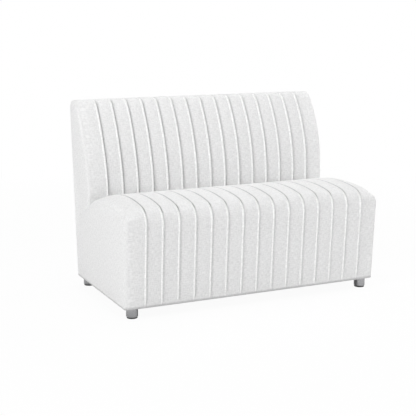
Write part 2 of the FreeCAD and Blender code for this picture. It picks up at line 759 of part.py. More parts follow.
def front_foot(out, floor):
    """Where the leaning front face, moved out, meets a level."""
    reach = ROLL_R + out + (floor - SEAT_ROLL[1]) * math.sin(LEAN)
    return SEAT_ROLL[0] - reach / math.cos(LEAN), floor


def seat_loop(x, out, floor=BASE):
    """The seat block: front face, roll, crown, shoulder, rear face and base."""
    foot = front_foot(out, floor)
    shoulder_end = rear_line_meets(SHOULDER, SHOULDER_R + out, val("rear_skin") - out)
    rear_y = shoulder_end[0] - (shoulder_end[1] - floor) * math.tan(RAKE)
    return loop(x, foot, [
        (on_circle(SEAT_ROLL, ROLL_R + out, ROLL_START),),
        arc(SEAT_ROLL, ROLL_R + out, ROLL_START, ROLL_END),
        arc(SEAT_CROWN, CROWN_R + out, ROLL_END, TUCK),
        arc(SHOULDER, SHOULDER_R + out, TUCK, angle_to(SHOULDER, shoulder_end)),
        ((rear_y, floor),),
        (foot,),
    ])


def seat_wrap_loop(x, out):
    """The seat wrap's section: a hem under the front, over the roll and crown, then tucked under the back."""
    inner = -val("cover_thickness")
    foot = front_foot(out, BASE)
    hem = val("frame_front")
    return loop(x, foot, [
        (on_circle(SEAT_ROLL, ROLL_R + out, ROLL_START),),
        arc(SEAT_ROLL, ROLL_R + out, ROLL_START, ROLL_END),
        arc(SEAT_CROWN, CROWN_R + out, ROLL_END, TUCK),
        (on_circle(SHOULDER, SHOULDER_R, TUCK_FADE),),
        arc(SHOULDER, SHOULDER_R, TUCK_FADE, TUCK_END),
        (on_circle(SHOULDER, SHOULDER_R + inner, TUCK_END),),
        arc(SHOULDER, SHOULDER_R + inner, TUCK_END, TUCK),
        arc(SEAT_CROWN, CROWN_R + inner, TUCK, ROLL_END),
        arc(SEAT_ROLL, ROLL_R + inner, ROLL_END, ROLL_START),
        (front_foot(inner, BASE - inner),),
        ((hem, BASE - inner),),
        ((hem, BASE),),
        (foot,),
    ])


def back_loop(x, out, rest):
    """The back block: front face, roll, top, rear corner, rear face and the curve that rests on the seat."""
    rest_r = SHOULDER_R + rest
    foot = circles_meet(SHOULDER, rest_r, FACE, FACE_R + out)
    rear_foot = rear_line_meets(SHOULDER, rest_r, val("rear_skin") - out)
    return loop(x, foot, [
        arc(FACE, FACE_R + out, angle_to(FACE, foot), FACE_END),
        arc(BACK_ROLL, BACK_ROLL_R + out, FACE_END, 0),
        (on_circle(CORNER, CORNER_R + out, 0),),
        arc(CORNER, CORNER_R + out, 0, CORNER_END),
        (rear_foot,),
        arc(SHOULDER, rest_r, angle_to(SHOULDER, rear_foot), angle_to(SHOULDER, foot)),
    ])


def back_wrap_loop(x, out):
    """The back wrap's section: from the seat up the front face, over the roll and down round the rear corner."""
    inner = -val("cover_thickness")
    rest_r = SHOULDER_R + val("soft_clearance") + max(out, 0)
    foot = circles_meet(SHOULDER, rest_r, FACE, FACE_R + out)
    inner_foot = circles_meet(SHOULDER, rest_r, FACE, FACE_R + inner)
    return loop(x, foot, [
        arc(FACE, FACE_R + out, angle_to(FACE, foot), FACE_END),
        arc(BACK_ROLL, BACK_ROLL_R + out, FACE_END, 0),
        (on_circle(CORNER, CORNER_R, 0),),
        arc(CORNER, CORNER_R, 0, CORNER_END),
        (on_circle(CORNER, CORNER_R + inner, CORNER_END),),
        arc(CORNER, CORNER_R + inner, CORNER_END, 0),
        (on_circle(BACK_ROLL, BACK_ROLL_R + inner, 0),),
        arc(BACK_ROLL, BACK_ROLL_R + inner, 0, FACE_END),
        arc(FACE, FACE_R + inner, FACE_END, angle_to(FACE, inner_foot)),
        (foot,),
    ])


def channel_sections():
    """X and rise of the wrap along the bench: a sharp ridge at each seam, a low crown on each channel between."""
    seam_x, half_ridge = val("seam_x"), val("ridge_width / 2")
    pitch, crown, ridge = val("channel_pitch"), val("channel_crown"), val("ridge_height")
    count = int(val("channel_count"))
    seams = [pitch * (index - count / 2) for index in range(1, count)]
    starts = [-seam_x] + [seam + half_ridge for seam in seams]
    ends = [seam - half_ridge for seam in seams] + [seam_x]
    sections = []
    for index, (start, end) in enumerate(zip(starts, ends)):
        quarter = (end - start) / 4
        sections += [(start, 0), (start + quarter, crown), (end - quarter, crown), (end, 0)]
        if index < len(seams):
            sections.append((seams[index], ridge))
    return sections


EDGE_STEPS = 3


def end_sections(inset):
    """X and rise of a rounded right-hand end that lies inside the bench's own by an inset."""
    radius = val("edge_radius") - inset
    turns = [math.pi / 2 * step / EDGE_STEPS for step in range(EDGE_STEPS + 1)]
    return [(val("seam_x") + radius * math.sin(turn), -inset - radius * (1 - math.cos(turn))) for turn in turns]


def lofted(loops):
    """A solid skinned straight from each closed wire to the next."""
    return Part.makeLoft(loops, True, True)


def mirrored(shape):
    """The same shape on the other side of the middle."""
    return shape.mirror(Vector(), Vector(1, 0, 0))


def soft(label, shape):
    """A soft piece under its own name."""
    made = node(doc.addObject("Part::Feature", label), label)
    made.Shape = shape


FAR = val("overall_width + overall_depth + overall_height")


def span_block(x, y, z):
    """A plain block between two numbers on each axis."""
    return Part.makeBox(x[1] - x[0], y[1] - y[0], z[1] - z[0], Vector(x[0], y[0], z[0]))


# Covers: channelled wraps and plain side covers
soft("seat_cover", lofted([seat_wrap_loop(x, out) for x, out in channel_sections()]))
soft("back_cover", lofted([back_wrap_loop(x, out) for x, out in channel_sections()]))

COVER = val("cover_thickness")
CLEAR = val("soft_clearance")
seat_end = lofted([seat_loop(x, out) for x, out in end_sections(0)])
seat_end_room = lofted([seat_loop(val("seam_x") - COVER, -COVER, BASE + COVER)]
                       + [seat_loop(x, out, BASE + COVER) for x, out in end_sections(COVER)])
back_end = lofted([back_loop(x, out, CLEAR + out) for x, out in end_sections(0)])
back_end_room = lofted([back_loop(val("seam_x") - COVER, -COVER, -COVER)]
                       + [back_loop(x, out, out - COVER) for x, out in end_sections(COVER)])
seat_side = seat_end.cut(seat_end_room)
back_side = back_end.cut(back_end_room)
soft("seat_side_cover_right", seat_side)
soft("seat_side_cover_left", mirrored(seat_side))
soft("back_side_cover_right", back_side)
soft("back_side_cover_left", mirrored(back_side))

# Padding: the room inside the covers, shared between foam on the frame and thin pads on its sides
SKIN = val("skin")
FRAME = val("frame_half")
PAD_FLOOR = BASE + SKIN
seat_room = lofted([seat_loop(x, -SKIN, PAD_FLOOR) for x in (-FRAME, FRAME)])
back_room = lofted([back_loop(x, -SKIN, CLEAR) for x in (-FRAME, FRAME)])
seat_pad = lofted([seat_loop(x, out, PAD_FLOOR) for x, out in end_sections(SKIN)])
back_pad = lofted([back_loop(x, out, CLEAR + out + SKIN) for x, out in end_sections(SKIN)])
soft("seat_side_pad_right", seat_pad)
soft("seat_side_pad_left", mirrored(seat_pad))
soft("back_side_pad_right", back_pad)
soft("back_side_pad_left", mirrored(back_pad))

over_deck = span_block((-FAR, FAR), (-FAR, val("rear_rail_rear")), (val("foam_z"), FAR))
before_panel = span_block((-FAR, FAR), (-FAR, val("frame_front")), (-FAR, val("foam_z")))
soft("seat_foam", seat_room.common(over_deck))
soft("front_pad", seat_room.common(before_panel))

frame_room = raked_box("frame_room", across, ("-back_frame_depth", "frame_front_in + webbing_thickness"),
                       ("-foot_height", "frame_top"))
over_rails = span_block((-FAR, FAR), (-FAR, FAR), (val("rail_z"), FAR))
doc.recompute()
soft("back_foam", back_room.common(over_rails).cut(frame_room.Shape))

# Checks, then one file for each piece
doc.recompute()
for item in doc.Objects:
    if "Invalid" in item.State or "Error" in item.State:
        raise RuntimeError(f"{item.Label}: {item.State}")
for item in nodes:
    if item.Shape.isNull() or not item.Shape.isValid():
        raise RuntimeError(f"{item.Label}: bad shape")

os.makedirs("parts", exist_ok=True)
for item in nodes:
    item.Shape.exportStep(f"parts/{item.Label}.step")
whole = Part.makeCompound([item.Shape for item in nodes]).BoundBox
print(f"{len(nodes)} pieces, {whole.XLength:.2f} x {whole.YLength:.2f} x {whole.ZLength:.2f} mm")
print(f"shoulder radius {SHOULDER_R:.1f}, back face radius {FACE_R:.1f}")
for item in nodes:
    print(item.Label, len(item.Shape.Solids), round(item.Shape.Volume))
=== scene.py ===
# %% [markdown]
# # A channel-tufted dining bench
#
# The real object is a short upholstered bench with a full back: a wooden box on four metal feet,
# padded all round and covered in one off-white woven cloth. Fifteen narrow sewn tucks run up the
# front, across the seat and over the back, and part it into sixteen channels.
#
# The frame comes first. It is the imported CAD model, in metres, and everything below is dressed
# onto it.

# %% Load the frame
import math

import bpy
import numpy as np
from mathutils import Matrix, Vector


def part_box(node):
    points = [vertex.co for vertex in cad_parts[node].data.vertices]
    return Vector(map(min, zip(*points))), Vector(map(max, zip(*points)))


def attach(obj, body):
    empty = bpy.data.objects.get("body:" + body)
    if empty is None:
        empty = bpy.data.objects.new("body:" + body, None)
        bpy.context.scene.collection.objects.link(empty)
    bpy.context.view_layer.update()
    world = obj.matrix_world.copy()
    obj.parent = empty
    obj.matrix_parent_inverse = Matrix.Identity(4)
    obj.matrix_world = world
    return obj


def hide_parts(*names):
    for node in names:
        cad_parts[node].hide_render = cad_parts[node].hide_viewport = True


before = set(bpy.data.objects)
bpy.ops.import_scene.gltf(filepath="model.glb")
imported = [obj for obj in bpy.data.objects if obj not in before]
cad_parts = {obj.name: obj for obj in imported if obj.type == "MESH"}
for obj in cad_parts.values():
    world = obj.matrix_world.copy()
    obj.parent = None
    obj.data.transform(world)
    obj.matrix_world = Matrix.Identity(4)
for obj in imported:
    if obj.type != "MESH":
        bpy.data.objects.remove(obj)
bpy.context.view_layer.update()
MM = 0.001

# %% [markdown]
# ## Camera
#
# The photograph was taken from the left, a little above the seat, with a long lens. The camera's
# place, tilt and turn were worked out from the bench's corners and the lines of its tucks. A target
# constraint would be quicker to set up, but plain numbers are easier to check.

# %% Camera
CAMERA_PLACE = (-1.95795, -3.98885, 1.25419)
CAMERA_PITCH, CAMERA_YAW = 11.319, 25.265
FOCAL_PIXELS, IMAGE_SIDE, SENSOR = 984.29, 416, 36.0
CLIP_NEAR, CLIP_FAR = 0.1, 60.0

lens = bpy.data.cameras.new("camera")
lens.sensor_width = SENSOR
lens.lens = FOCAL_PIXELS * SENSOR / IMAGE_SIDE
lens.clip_start, lens.clip_end = CLIP_NEAR, CLIP_FAR
camera = bpy.data.objects.new("camera", lens)
camera.location = CAMERA_PLACE
camera.rotation_euler = (math.radians(90 - CAMERA_PITCH), 0.0, -math.radians(CAMERA_YAW))
bpy.context.scene.collection.objects.link(camera)
bpy.context.scene.camera = camera
print("camera lens", round(lens.lens, 2), "mm")

# %% [markdown]
# ## The bench's section
#
# Seen from the end, the bench is a chain of straight runs and arcs: a front that leans out as it
# rises, a roll, a crowned seat, a shoulder that dives under the back, and then the back's own face,
# roll, top and rear corner. Every cover follows this chain, so it is written once, in millimetres,
# as (y, z) points. Angles are counted from straight up towards the rear.

# %% Section sizes
WIDTH, DEPTH, HEIGHT = 1219.2, 711.2, 863.6
SEAT_HEIGHT, SEAT_DEPTH = 481.0, 478.0
BASE = 44.0
RIDGE_HEIGHT = 3.5
EDGE, REAR_SKIN, CORNER_EXTRA = 30.0, 2.3, 8.0
ROLL_R, CROWN_R, BACK_ROLL_R = 70.0, 820.0, 62.0
# The crown's middle lies behind the front, the seat dips before the back, and the back's roll lies
# before its rear corner. The back's face is plumb at PLUMB_Z.
CROWN_BEHIND, DIP_BEFORE, ROLL_BEFORE = 205.0, 14.0, 18.0
PLUMB_Z = 450.0
LEAN, RAKE, CREASE_FALL = np.radians([3.5, 4.2, 43.0])

SEAM_X = WIDTH / 2 - EDGE
FRONT_Y = RIDGE_HEIGHT - DEPTH / 2
TOP_Z = HEIGHT - RIDGE_HEIGHT
BACK_Y = FRONT_Y + SEAT_DEPTH
CORNER_OUT = EDGE + REAR_SKIN + CORNER_EXTRA
CORNER_R = CORNER_OUT - REAR_SKIN
CORNER = np.array([DEPTH / 2 - CORNER_OUT, TOP_Z - CORNER_OUT])
REAR_BASE_Y = CORNER[0] + (CORNER_OUT + (BASE - CORNER[1]) * np.sin(RAKE)) / np.cos(RAKE)
print("seams at", round(SEAM_X, 1), "mm, rear base at", round(float(REAR_BASE_Y), 1), "mm")

# %% Arcs of the section


def around(centre, radius, angle):
    """centre + radius * (sine, cosine) of the angle, as (y, z) points."""
    angle = np.asarray(angle, float)
    return np.stack([centre[0] + radius * np.sin(angle), centre[1] + radius * np.cos(angle)], -1)


def bearing(centre, point):
    """The angle from straight up at which a point lies, seen from a centre."""
    return np.arctan2(point[0] - centre[0], point[1] - centre[1])


CROWN = np.array([FRONT_Y + CROWN_BEHIND, SEAT_HEIGHT - CROWN_R])
ROLL_Y = FRONT_Y + ROLL_R
ROLL_RISE = math.sqrt((CROWN_R - ROLL_R) ** 2 - (CROWN[0] - ROLL_Y) ** 2)
ROLL = np.array([ROLL_Y, CROWN[1] + ROLL_RISE])
ROLL_START, ROLL_END = -np.pi / 2 - LEAN, bearing(CROWN, ROLL)
DIP = math.asin((BACK_Y - DIP_BEFORE - CROWN[0]) / CROWN_R)
DIP_POINT = around(CROWN, CROWN_R, DIP)
REAR_AT_DIP = REAR_BASE_Y - REAR_SKIN / np.cos(RAKE) + (DIP_POINT[1] - BASE) * np.tan(RAKE)
CHORD = (REAR_AT_DIP - DIP_POINT[0]) / (np.cos(CREASE_FALL) + np.sin(CREASE_FALL) * np.tan(RAKE))
SHOULDER_R = CHORD / (2 * np.sin(CREASE_FALL - DIP))
SHOULDER = DIP_POINT - SHOULDER_R * np.array([np.sin(DIP), np.cos(DIP)])
CREASE = DIP_POINT + CHORD * np.array([np.cos(CREASE_FALL), -np.sin(CREASE_FALL)])

BACK_ROLL = np.array([CORNER[0] - ROLL_BEFORE, TOP_Z - BACK_ROLL_R])
REACH, RISE = BACK_ROLL[0] - BACK_Y, BACK_ROLL[1] - PLUMB_Z
FACE_R = (REACH**2 + RISE**2 - BACK_ROLL_R**2) / (2 * (REACH - BACK_ROLL_R))
FACE = np.array([BACK_Y + FACE_R, PLUMB_Z])
FACE_END, CORNER_END = bearing(FACE, BACK_ROLL), np.pi / 2 + RAKE
FRONT_NORMAL, REAR_NORMAL = around((0.0, 0.0), 1.0, [ROLL_START, CORNER_END])
print("shoulder radius", round(float(SHOULDER_R), 1), "back face radius", round(float(FACE_R), 1))

# %% Lines of the section


def shoulder_z(y):
    """Height of the shoulder's arc at a depth y, from the circle's equation."""
    return SHOULDER[1] + np.sqrt(SHOULDER_R**2 - (y - SHOULDER[0]) ** 2)


def rear_y(z, inset=0.0):
    """Depth of the raked rear line at a height z, moved inwards by inset."""
    return REAR_BASE_Y - inset / np.cos(RAKE) + (z - BASE) * np.tan(RAKE)


def front_y(z, out=0.0):
    """Depth of the leaning front line at a height z, moved outwards by out."""
    return ROLL[0] - (ROLL_R + out + (z - ROLL[1]) * np.sin(LEAN)) / np.cos(LEAN)


def face_angle(z):
    """The angle on the back's face at a height z, from the arcsine of the drop."""
    return -np.pi / 2 - math.asin((PLUMB_Z - z) / FACE_R)


def behind_face(y, z):
    """How far a point lies behind the back's curved face."""
    return y - FACE[0] + np.sqrt(FACE_R**2 - (z - PLUMB_Z) ** 2)


print("the base is", round(float(rear_y(BASE) - front_y(BASE))), "mm deep")

# %% [markdown]
# ## Paths
#
# A cover is cut to the length of the path that it follows. Each path is joined from arcs and runs in
# steps of a few millimetres, and keeps the outward normal of every point. A curve object would draw
# the same line, but arrays of points can go straight into the grids below.

# %% Paths made of arcs and runs
FOLD, FOLD_STEP = 4.0, 1.5


def arc(centre, radius, start, end, step):
    """Points and outward normals along an arc, about one step apart."""
    count = max(2, math.ceil(abs(end - start) * radius / step) + 1)
    angle = np.linspace(start, end, count)
    return around(centre, radius, angle), around((0.0, 0.0), 1.0, angle)


def run(start, end, normal, step):
    """Points along a straight run, about one step apart, all with the same normal."""
    start, end = np.asarray(start, float), np.asarray(end, float)
    count = max(2, math.ceil(np.linalg.norm(end - start) / step) + 1)
    points = start + (end - start) * np.linspace(0, 1, count)[:, None]
    return points, np.tile(np.asarray(normal, float), (count, 1))


def chain(*parts):
    """Joins parts end to end; each after the first drops the point that it shares."""
    points = np.concatenate([part[0][min(i, 1) :] for i, part in enumerate(parts)])
    normals = np.concatenate([part[1][min(i, 1) :] for i, part in enumerate(parts)])
    length = np.concatenate([[0.0], np.cumsum(np.linalg.norm(np.diff(points, axis=0), axis=1))])
    return points, normals, length


def hemmed(sill_y, fold_y, turn, rise_end, hem_step, step, *rest):
    """A hem under a sill, a small fold, a straight rise and the rest; hem and fold are pushed level."""
    fold = arc((fold_y, BASE + FOLD), FOLD, *turn, FOLD_STEP)
    hem = run((sill_y, BASE), fold[0][0], (0.0, -1.0), hem_step)
    rise = run(fold[0][-1], rise_end, fold[1][-1], step)
    points, push, length = chain(hem, fold, rise, *rest)
    push[: len(hem[0]) + len(fold[0]) - 1] = fold[1][-1]
    return points, push, length


def level_top(step):
    """The level run on the back's top, from its roll to its rear corner."""
    start, end = around(BACK_ROLL, BACK_ROLL_R, 0.0), around(CORNER, CORNER_R, 0.0)
    return run(start, end, (0.0, 1.0), step)


print("the back's top is level for", round(float(np.ptp(level_top(1.0)[0][:, 0])), 1), "mm")

# %% Paths of the seat and the back
ROW_STEP = 11.0
ROLL_FINER, SHOULDER_FINER, CORNER_FINER = 0.55, 0.8, 0.5
SILL_FRONT = -313.7
UNDER_BACK, BACK_FOOT = np.radians(12), 62.0

# Hem under the sill, small fold, front, roll, crown and the shoulder's tuck under the back.
seat = hemmed(
    SILL_FRONT,
    front_y(BASE + FOLD, -FOLD),
    (-np.pi, ROLL_START),
    around(ROLL, ROLL_R, ROLL_START),
    ROW_STEP,
    ROW_STEP,
    arc(ROLL, ROLL_R, ROLL_START, ROLL_END, ROLL_FINER * ROW_STEP),
    arc(CROWN, CROWN_R, ROLL_END, DIP, ROW_STEP),
    arc(SHOULDER, SHOULDER_R, DIP, DIP + UNDER_BACK, SHOULDER_FINER * ROW_STEP),
)
# From below the seat's surface up the face, over the roll and the top, and round the rear corner.
back = chain(
    arc(FACE, FACE_R, face_angle(shoulder_z(BACK_Y) - BACK_FOOT), FACE_END, ROW_STEP),
    arc(BACK_ROLL, BACK_ROLL_R, FACE_END, 0.0, ROLL_FINER * ROW_STEP),
    level_top(ROW_STEP),
    arc(CORNER, CORNER_R, 0.0, CORNER_END, CORNER_FINER * ROW_STEP),
)
print("seat path", round(float(seat[2][-1])), "mm, back path", round(float(back[2][-1])), "mm")

# %% [markdown]
# ## Meshes from grids
#
# A cover is a grid of points: one direction runs along the section, the other along the bench. These
# helpers turn such arrays into a mesh, give it a UV map measured in metres along the cloth, and say
# which CAD nodes it stands for.

# %% Mesh helpers


def grid_index(rows, columns):
    """The numbers of a grid of points, row by row."""
    return np.arange(rows * columns).reshape(rows, columns)


def index_quads(index):
    """Quads of a grid of point numbers: the four corners of each cell in turn."""
    corners = [index[:-1, :-1], index[:-1, 1:], index[1:, 1:], index[1:, :-1]]
    return np.stack(corners, -1).reshape(-1, 4)


def make_mesh(name, points, quads, caps=(), flat=None, flip=False):
    """A mesh from points in mm, quads and closing loops; flat is each point's place on flat cloth."""
    faces = quads.tolist() + [cap.tolist() for cap in caps]
    if flip:
        faces = [face[::-1] for face in faces]
    mesh = bpy.data.meshes.new(name)
    mesh.from_pydata((points.reshape(-1, 3) * MM).tolist(), [], faces)
    mesh.polygons.foreach_set("use_smooth", np.ones(len(faces), dtype=bool))
    if flat is not None:
        corner = np.empty(len(mesh.loops), dtype=np.int32)
        mesh.loops.foreach_get("vertex_index", corner)
        layer = mesh.uv_layers.new(name="cloth")
        layer.data.foreach_set("uv", (flat.reshape(-1, 2)[corner] * MM).astype(np.float32).ravel())
    mesh.update()
    piece = bpy.data.objects.new(name, mesh)
    bpy.context.scene.collection.objects.link(piece)
    return piece


def dress(piece, slot, material, *nodes):
    """Gives a piece its finish, lets it ride on the bench's one body and hides the CAD nodes."""
    piece.data.materials.append(material)
    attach(piece, "root")
    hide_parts(*nodes)
    print(piece.name, "has", len(piece.data.polygons), "faces and stands for", ", ".join(nodes))


print("3 by 4 points make", len(index_quads(grid_index(3, 4))), "quads")

# %% [markdown]
# ## Finishes
#
# The bench shows four finishes: woven linen-look cloth, brushed metal feet, black plastic glides and
# gaskets, and the black cambric below. The frame inside has its own. Each is built from shader
# nodes, with patterns sized from real threads, grain or grit.

# %% Node helper and colours
# A Mix node that blends colours has them, and its result, at these sockets.
MIX_DARK, MIX_LIGHT, MIX_RESULT = 6, 7, 2


def linear(code):
    """An sRGB hex colour as linear RGBA: ((c + 0.055) / 1.055) ** 2.4, or c / 12.92 where dark."""
    channel = np.array([int(code[i : i + 2], 16) for i in (1, 3, 5)]) / 255
    value = np.where(channel <= 0.04045, channel / 12.92, ((channel + 0.055) / 1.055) ** 2.4)
    return (*value.tolist(), 1.0)


def add(tree, kind, inputs=None, out=0, **settings):
    """Adds a node with its settings, sets or links its inputs, and returns one output socket."""
    made = tree.nodes.new("ShaderNode" + kind)
    for name, value in settings.items():
        setattr(made, name, value)
    for socket, value in (inputs or {}).items():
        if isinstance(value, bpy.types.NodeSocket):
            tree.links.new(value, made.inputs[socket])
        else:
            made.inputs[socket].default_value = value
    return made.outputs[out] if made.outputs else None


def blank_finish(name):
    """A new material and its empty node tree."""
    material = bpy.data.materials.new(name)
    material.use_nodes = True
    material.node_tree.nodes.clear()
    return material, material.node_tree


def close_finish(tree, colour, roughness, height, depth, look):
    """Ends a finish with one principled shader, raised by a height socket by depth metres."""
    bump = add(tree, "Bump", {"Height": height, "Strength": 1.0, "Distance": depth})
    look = {"Base Color": colour, "Roughness": roughness, "Normal": bump, **look}
    add(tree, "OutputMaterial", {"Surface": add(tree, "BsdfPrincipled", look)})


print("#808080 is", round(linear("#808080")[0], 3), "in linear light")

# %% [markdown]
# Linen-look cloth is plain-woven from uneven yarn: a matt off-white with short slubs along both
# thread directions. The threads are about 0.8 mm apart, too fine for the picture, so they are drawn
# 2.2 mm apart, and the slubs 4 mm by 16 mm, along the cloth's own UV map. Along the groove behind
# each tuck and along the pressed hem, painted shade turns the cloth a soft grey; an attribute says
# where.

# %% Woven cloth
ON_CLOTH = {"kind": "UVMap", "uv_map": "cloth"}
THREAD = 0.0022
SLUB_ACROSS, SLUB_ALONG = 260.0, 60.0
# The last colour is painted shade: the grey put in the grooves behind the tucks and along the hem.
CLOTH_DARK, CLOTH_LIGHT, PAINTED_SHADE_GREY = "#E4E4E4", "#F8F8F8", "#A6A6A6"
WEAVE_SHADE, WEAVE_HEIGHT = 0.15, 0.5
CLOTH_ROUGHNESS, CLOTH_DEPTH = 0.92, 0.0004
CLOTH_LOOK = {"Specular IOR Level": 0.25, "Sheen Weight": 0.15, "Sheen Roughness": 0.5}


def woven_cloth():
    """Plain weave: the over and under is the product of two sines, the slubs are two noises' sum."""
    material, tree = blank_finish("linen_plain_weave")
    place = add(tree, **ON_CLOTH)
    turns = add(tree, "VectorMath", {0: place, 1: (math.tau / THREAD,) * 3}, operation="MULTIPLY")
    waves = []
    slubs = []
    for axis, stretch in ((0, (SLUB_ACROSS, SLUB_ALONG, 1.0)), (1, (SLUB_ALONG, SLUB_ACROSS, 1.0))):
        thread = add(tree, "SeparateXYZ", {0: turns}, axis)
        waves.append(add(tree, "Math", {0: thread}, operation="SINE"))
        along = add(tree, "VectorMath", {0: place, 1: stretch}, operation="MULTIPLY")
        slubs.append(add(tree, "TexNoise", {"Vector": along, "Scale": 1.0, "Detail": 2.0}))
    weave = add(tree, "Math", dict(enumerate(waves)), operation="MULTIPLY")
    slub = add(tree, "Math", dict(enumerate(slubs)), operation="ADD")
    spread = add(tree, "MapRange", {"Value": slub, "From Min": 0.7, "From Max": 1.3})
    shade = add(tree, "Math", {0: weave, 1: WEAVE_SHADE, 2: spread}, operation="MULTIPLY_ADD")
    pair = {MIX_DARK: linear(CLOTH_DARK), MIX_LIGHT: linear(CLOTH_LIGHT)}
    cloth = add(tree, "Mix", {0: shade, **pair}, MIX_RESULT, data_type="RGBA")
    # Painted shade: the attribute mixes the cloth towards grey in the grooves and along the hem.
    painted_shade = add(tree, "Attribute", out="Fac", attribute_name="painted_shade")
    pair = {MIX_DARK: cloth, MIX_LIGHT: linear(PAINTED_SHADE_GREY)}
    shaded_cloth = add(tree, "Mix", {0: painted_shade, **pair}, MIX_RESULT, data_type="RGBA")
    height = add(tree, "Math", {0: weave, 1: WEAVE_HEIGHT, 2: spread}, operation="MULTIPLY_ADD")
    close_finish(tree, shaded_cloth, CLOTH_ROUGHNESS, height, CLOTH_DEPTH, CLOTH_LOOK)
    return material


CLOTH = woven_cloth()
print("made", CLOTH.name)

# %% [markdown]
# ## The channelled wraps
#
# The seat's wrap is one long sewn panel. It starts under the front sill, goes up the front, over the
# roll and across the seat, and is pulled down behind the back. The back's wrap does the same from
# the seat over the top. Each channel swells a little between its tucks, and the tucks stand up as
# narrow ridges.
#
# A subdivided cube with creases would be hard to keep in step with the section. Here the grid
# follows the path, the swelling comes from a cloth simulation on a coarse grid held at the tucks,
# and the ridges are added afterwards, so that they stay crisp.

# %% Where the tucks are
END_CHANNEL = 61.2
PITCH = (SEAM_X - END_CHANNEL) / 7
TUCK_X = PITCH * np.arange(-7, 8)
# The wraps are sewn to the side panels half way round the edge, with a narrow gap between them.
SEAM_ANGLE, SEAM_GAP = np.radians([50.0, 1.0])
WRAP_ANGLE, SIDE_ANGLE = SEAM_ANGLE - SEAM_GAP, SEAM_ANGLE + SEAM_GAP
WRAP_REACH = SEAM_X + EDGE * WRAP_ANGLE
BOUNDS = np.concatenate([[-WRAP_REACH], TUCK_X, [WRAP_REACH]])
# Columns before and after each tuck, and the number of points in a channel and round the edge.
BEFORE_TUCK = [-10.0, -7.2, -5.6, -4.7, -4.0, -3.4, -2.7, -1.8]
AFTER_TUCK = [1.8, 2.7, 3.4, 4.0, 4.7, 5.4, 6.2, 7.2, 8.4, 10.0]
GAP_POINTS, EDGE_POINTS = 7, 8


def across(reach):
    """(x, out) at a distance along the cloth: flat up to the edge, then round it by sine and cosine."""
    turn = np.clip((np.abs(reach) - SEAM_X) / EDGE, 0.0, None)
    x = np.sign(reach) * np.where(turn > 0, SEAM_X + EDGE * np.sin(turn), np.abs(reach))
    return x, -EDGE * (1 - np.cos(turn))


def fine_columns():
    """Distances along the cloth: close together at each tuck, and evenly spread between them."""
    near = np.array([*BEFORE_TUCK, 0.0, *AFTER_TUCK])
    tucks = (TUCK_X[:, None] + near).ravel()
    spans = zip(TUCK_X[:-1] + near[-1], TUCK_X[1:] + near[0])
    gaps = [np.linspace(start, end, GAP_POINTS)[1:-1] for start, end in spans]
    flat_end = np.linspace(TUCK_X[-1] + near[-1], SEAM_X, GAP_POINTS)[1:]
    end = np.concatenate([flat_end, np.linspace(SEAM_X, WRAP_REACH, EDGE_POINTS)[1:]])
    return np.sort(np.concatenate([tucks, *gaps, end, -end]))


COLUMNS = fine_columns()
print(len(TUCK_X), "tucks", round(PITCH, 2), "mm apart,", len(COLUMNS), "columns")

# %% [markdown]
# The padding is a cloth simulation: a closed cloth is blown up a little while the tucks and seams
# hold it. Stiff settings and a cap on the move keep it close to the section, and no gravity acts,
# because the filling carries the cloth.

# %% Cloth simulation
FRAMES = 20
CLOTH_SETTINGS = {
    "quality": 6,
    "mass": 0.3,
    "tension_stiffness": 12.0,
    "compression_stiffness": 12.0,
    "shear_stiffness": 5.0,
    "bending_stiffness": 0.5,
    "use_pressure": True,
    "uniform_pressure_force": 4.0,
    "vertex_group_mass": "held",
}


def swell(name, points, faces, held, cap):
    """Blows a closed cloth up; returns each point's move, eased to at most cap by a tanh."""
    piece = make_mesh(name, points, *faces)
    group = piece.vertex_groups.new(name="held")
    group.add(np.flatnonzero(held).tolist(), 1.0, "REPLACE")
    cloth = piece.modifiers.new("cloth", "CLOTH")
    for setting, value in CLOTH_SETTINGS.items():
        setattr(cloth.settings, setting, value)
    cloth.settings.effector_weights.gravity = 0.0
    cloth.point_cache.frame_start, cloth.point_cache.frame_end = 1, FRAMES
    scene = bpy.context.scene
    for number in range(1, FRAMES + 1):
        scene.frame_set(number)
    blown = piece.evaluated_get(bpy.context.evaluated_depsgraph_get()).data
    end = np.empty(3 * len(points), dtype=np.float32)
    blown.vertices.foreach_get("co", end)
    move = end.reshape(-1, 3) / MM - points
    scene.frame_set(1)
    mesh = piece.data
    bpy.data.objects.remove(piece)
    bpy.data.meshes.remove(mesh)
    size = np.linalg.norm(move, axis=1, keepdims=True)
    print(name, "swells by up to", round(float(size.max()), 2), "mm before the cap of", cap)
    return move * cap * np.tanh(size / cap) / np.maximum(size, 1e-9)


# %% Tubes of cloth and filling


def tube_points(points, push, x, out, inner):
    """A closed tube: the outer rows pushed out by out, then the inner rows on the way back."""
    out = np.broadcast_to(out, (len(points), len(x)))
    skin = points[:, None, :] + out[..., None] * push[:, None, :]
    core = np.broadcast_to(inner[:, None, :], (len(inner), len(x), 2))
    section = np.concatenate([skin, core])
    return np.concatenate([np.broadcast_to(x, section.shape[:2])[..., None], section], -1)


def tube_faces(rows, columns):
    """The quads of a tube, whose last row joins the first, and the loops that close its ends."""
    index = grid_index(rows, columns)
    return index_quads(np.concatenate([index, index[:1]])), (index[:, 0], index[::-1, -1])


print("a tube of 3 by 4 points has", len(tube_faces(3, 4)[0]), "quads")

# %% Channels that swell
CELLS, QUICK_SWELL = 6, 2.0


def coarse_columns():
    """Distances along the cloth for the simulation: equal cells in each channel."""
    starts = BOUNDS[:-1, None] + np.diff(BOUNDS)[:, None] * (np.arange(CELLS) / CELLS)
    return np.append(starts.ravel(), BOUNDS[-1])


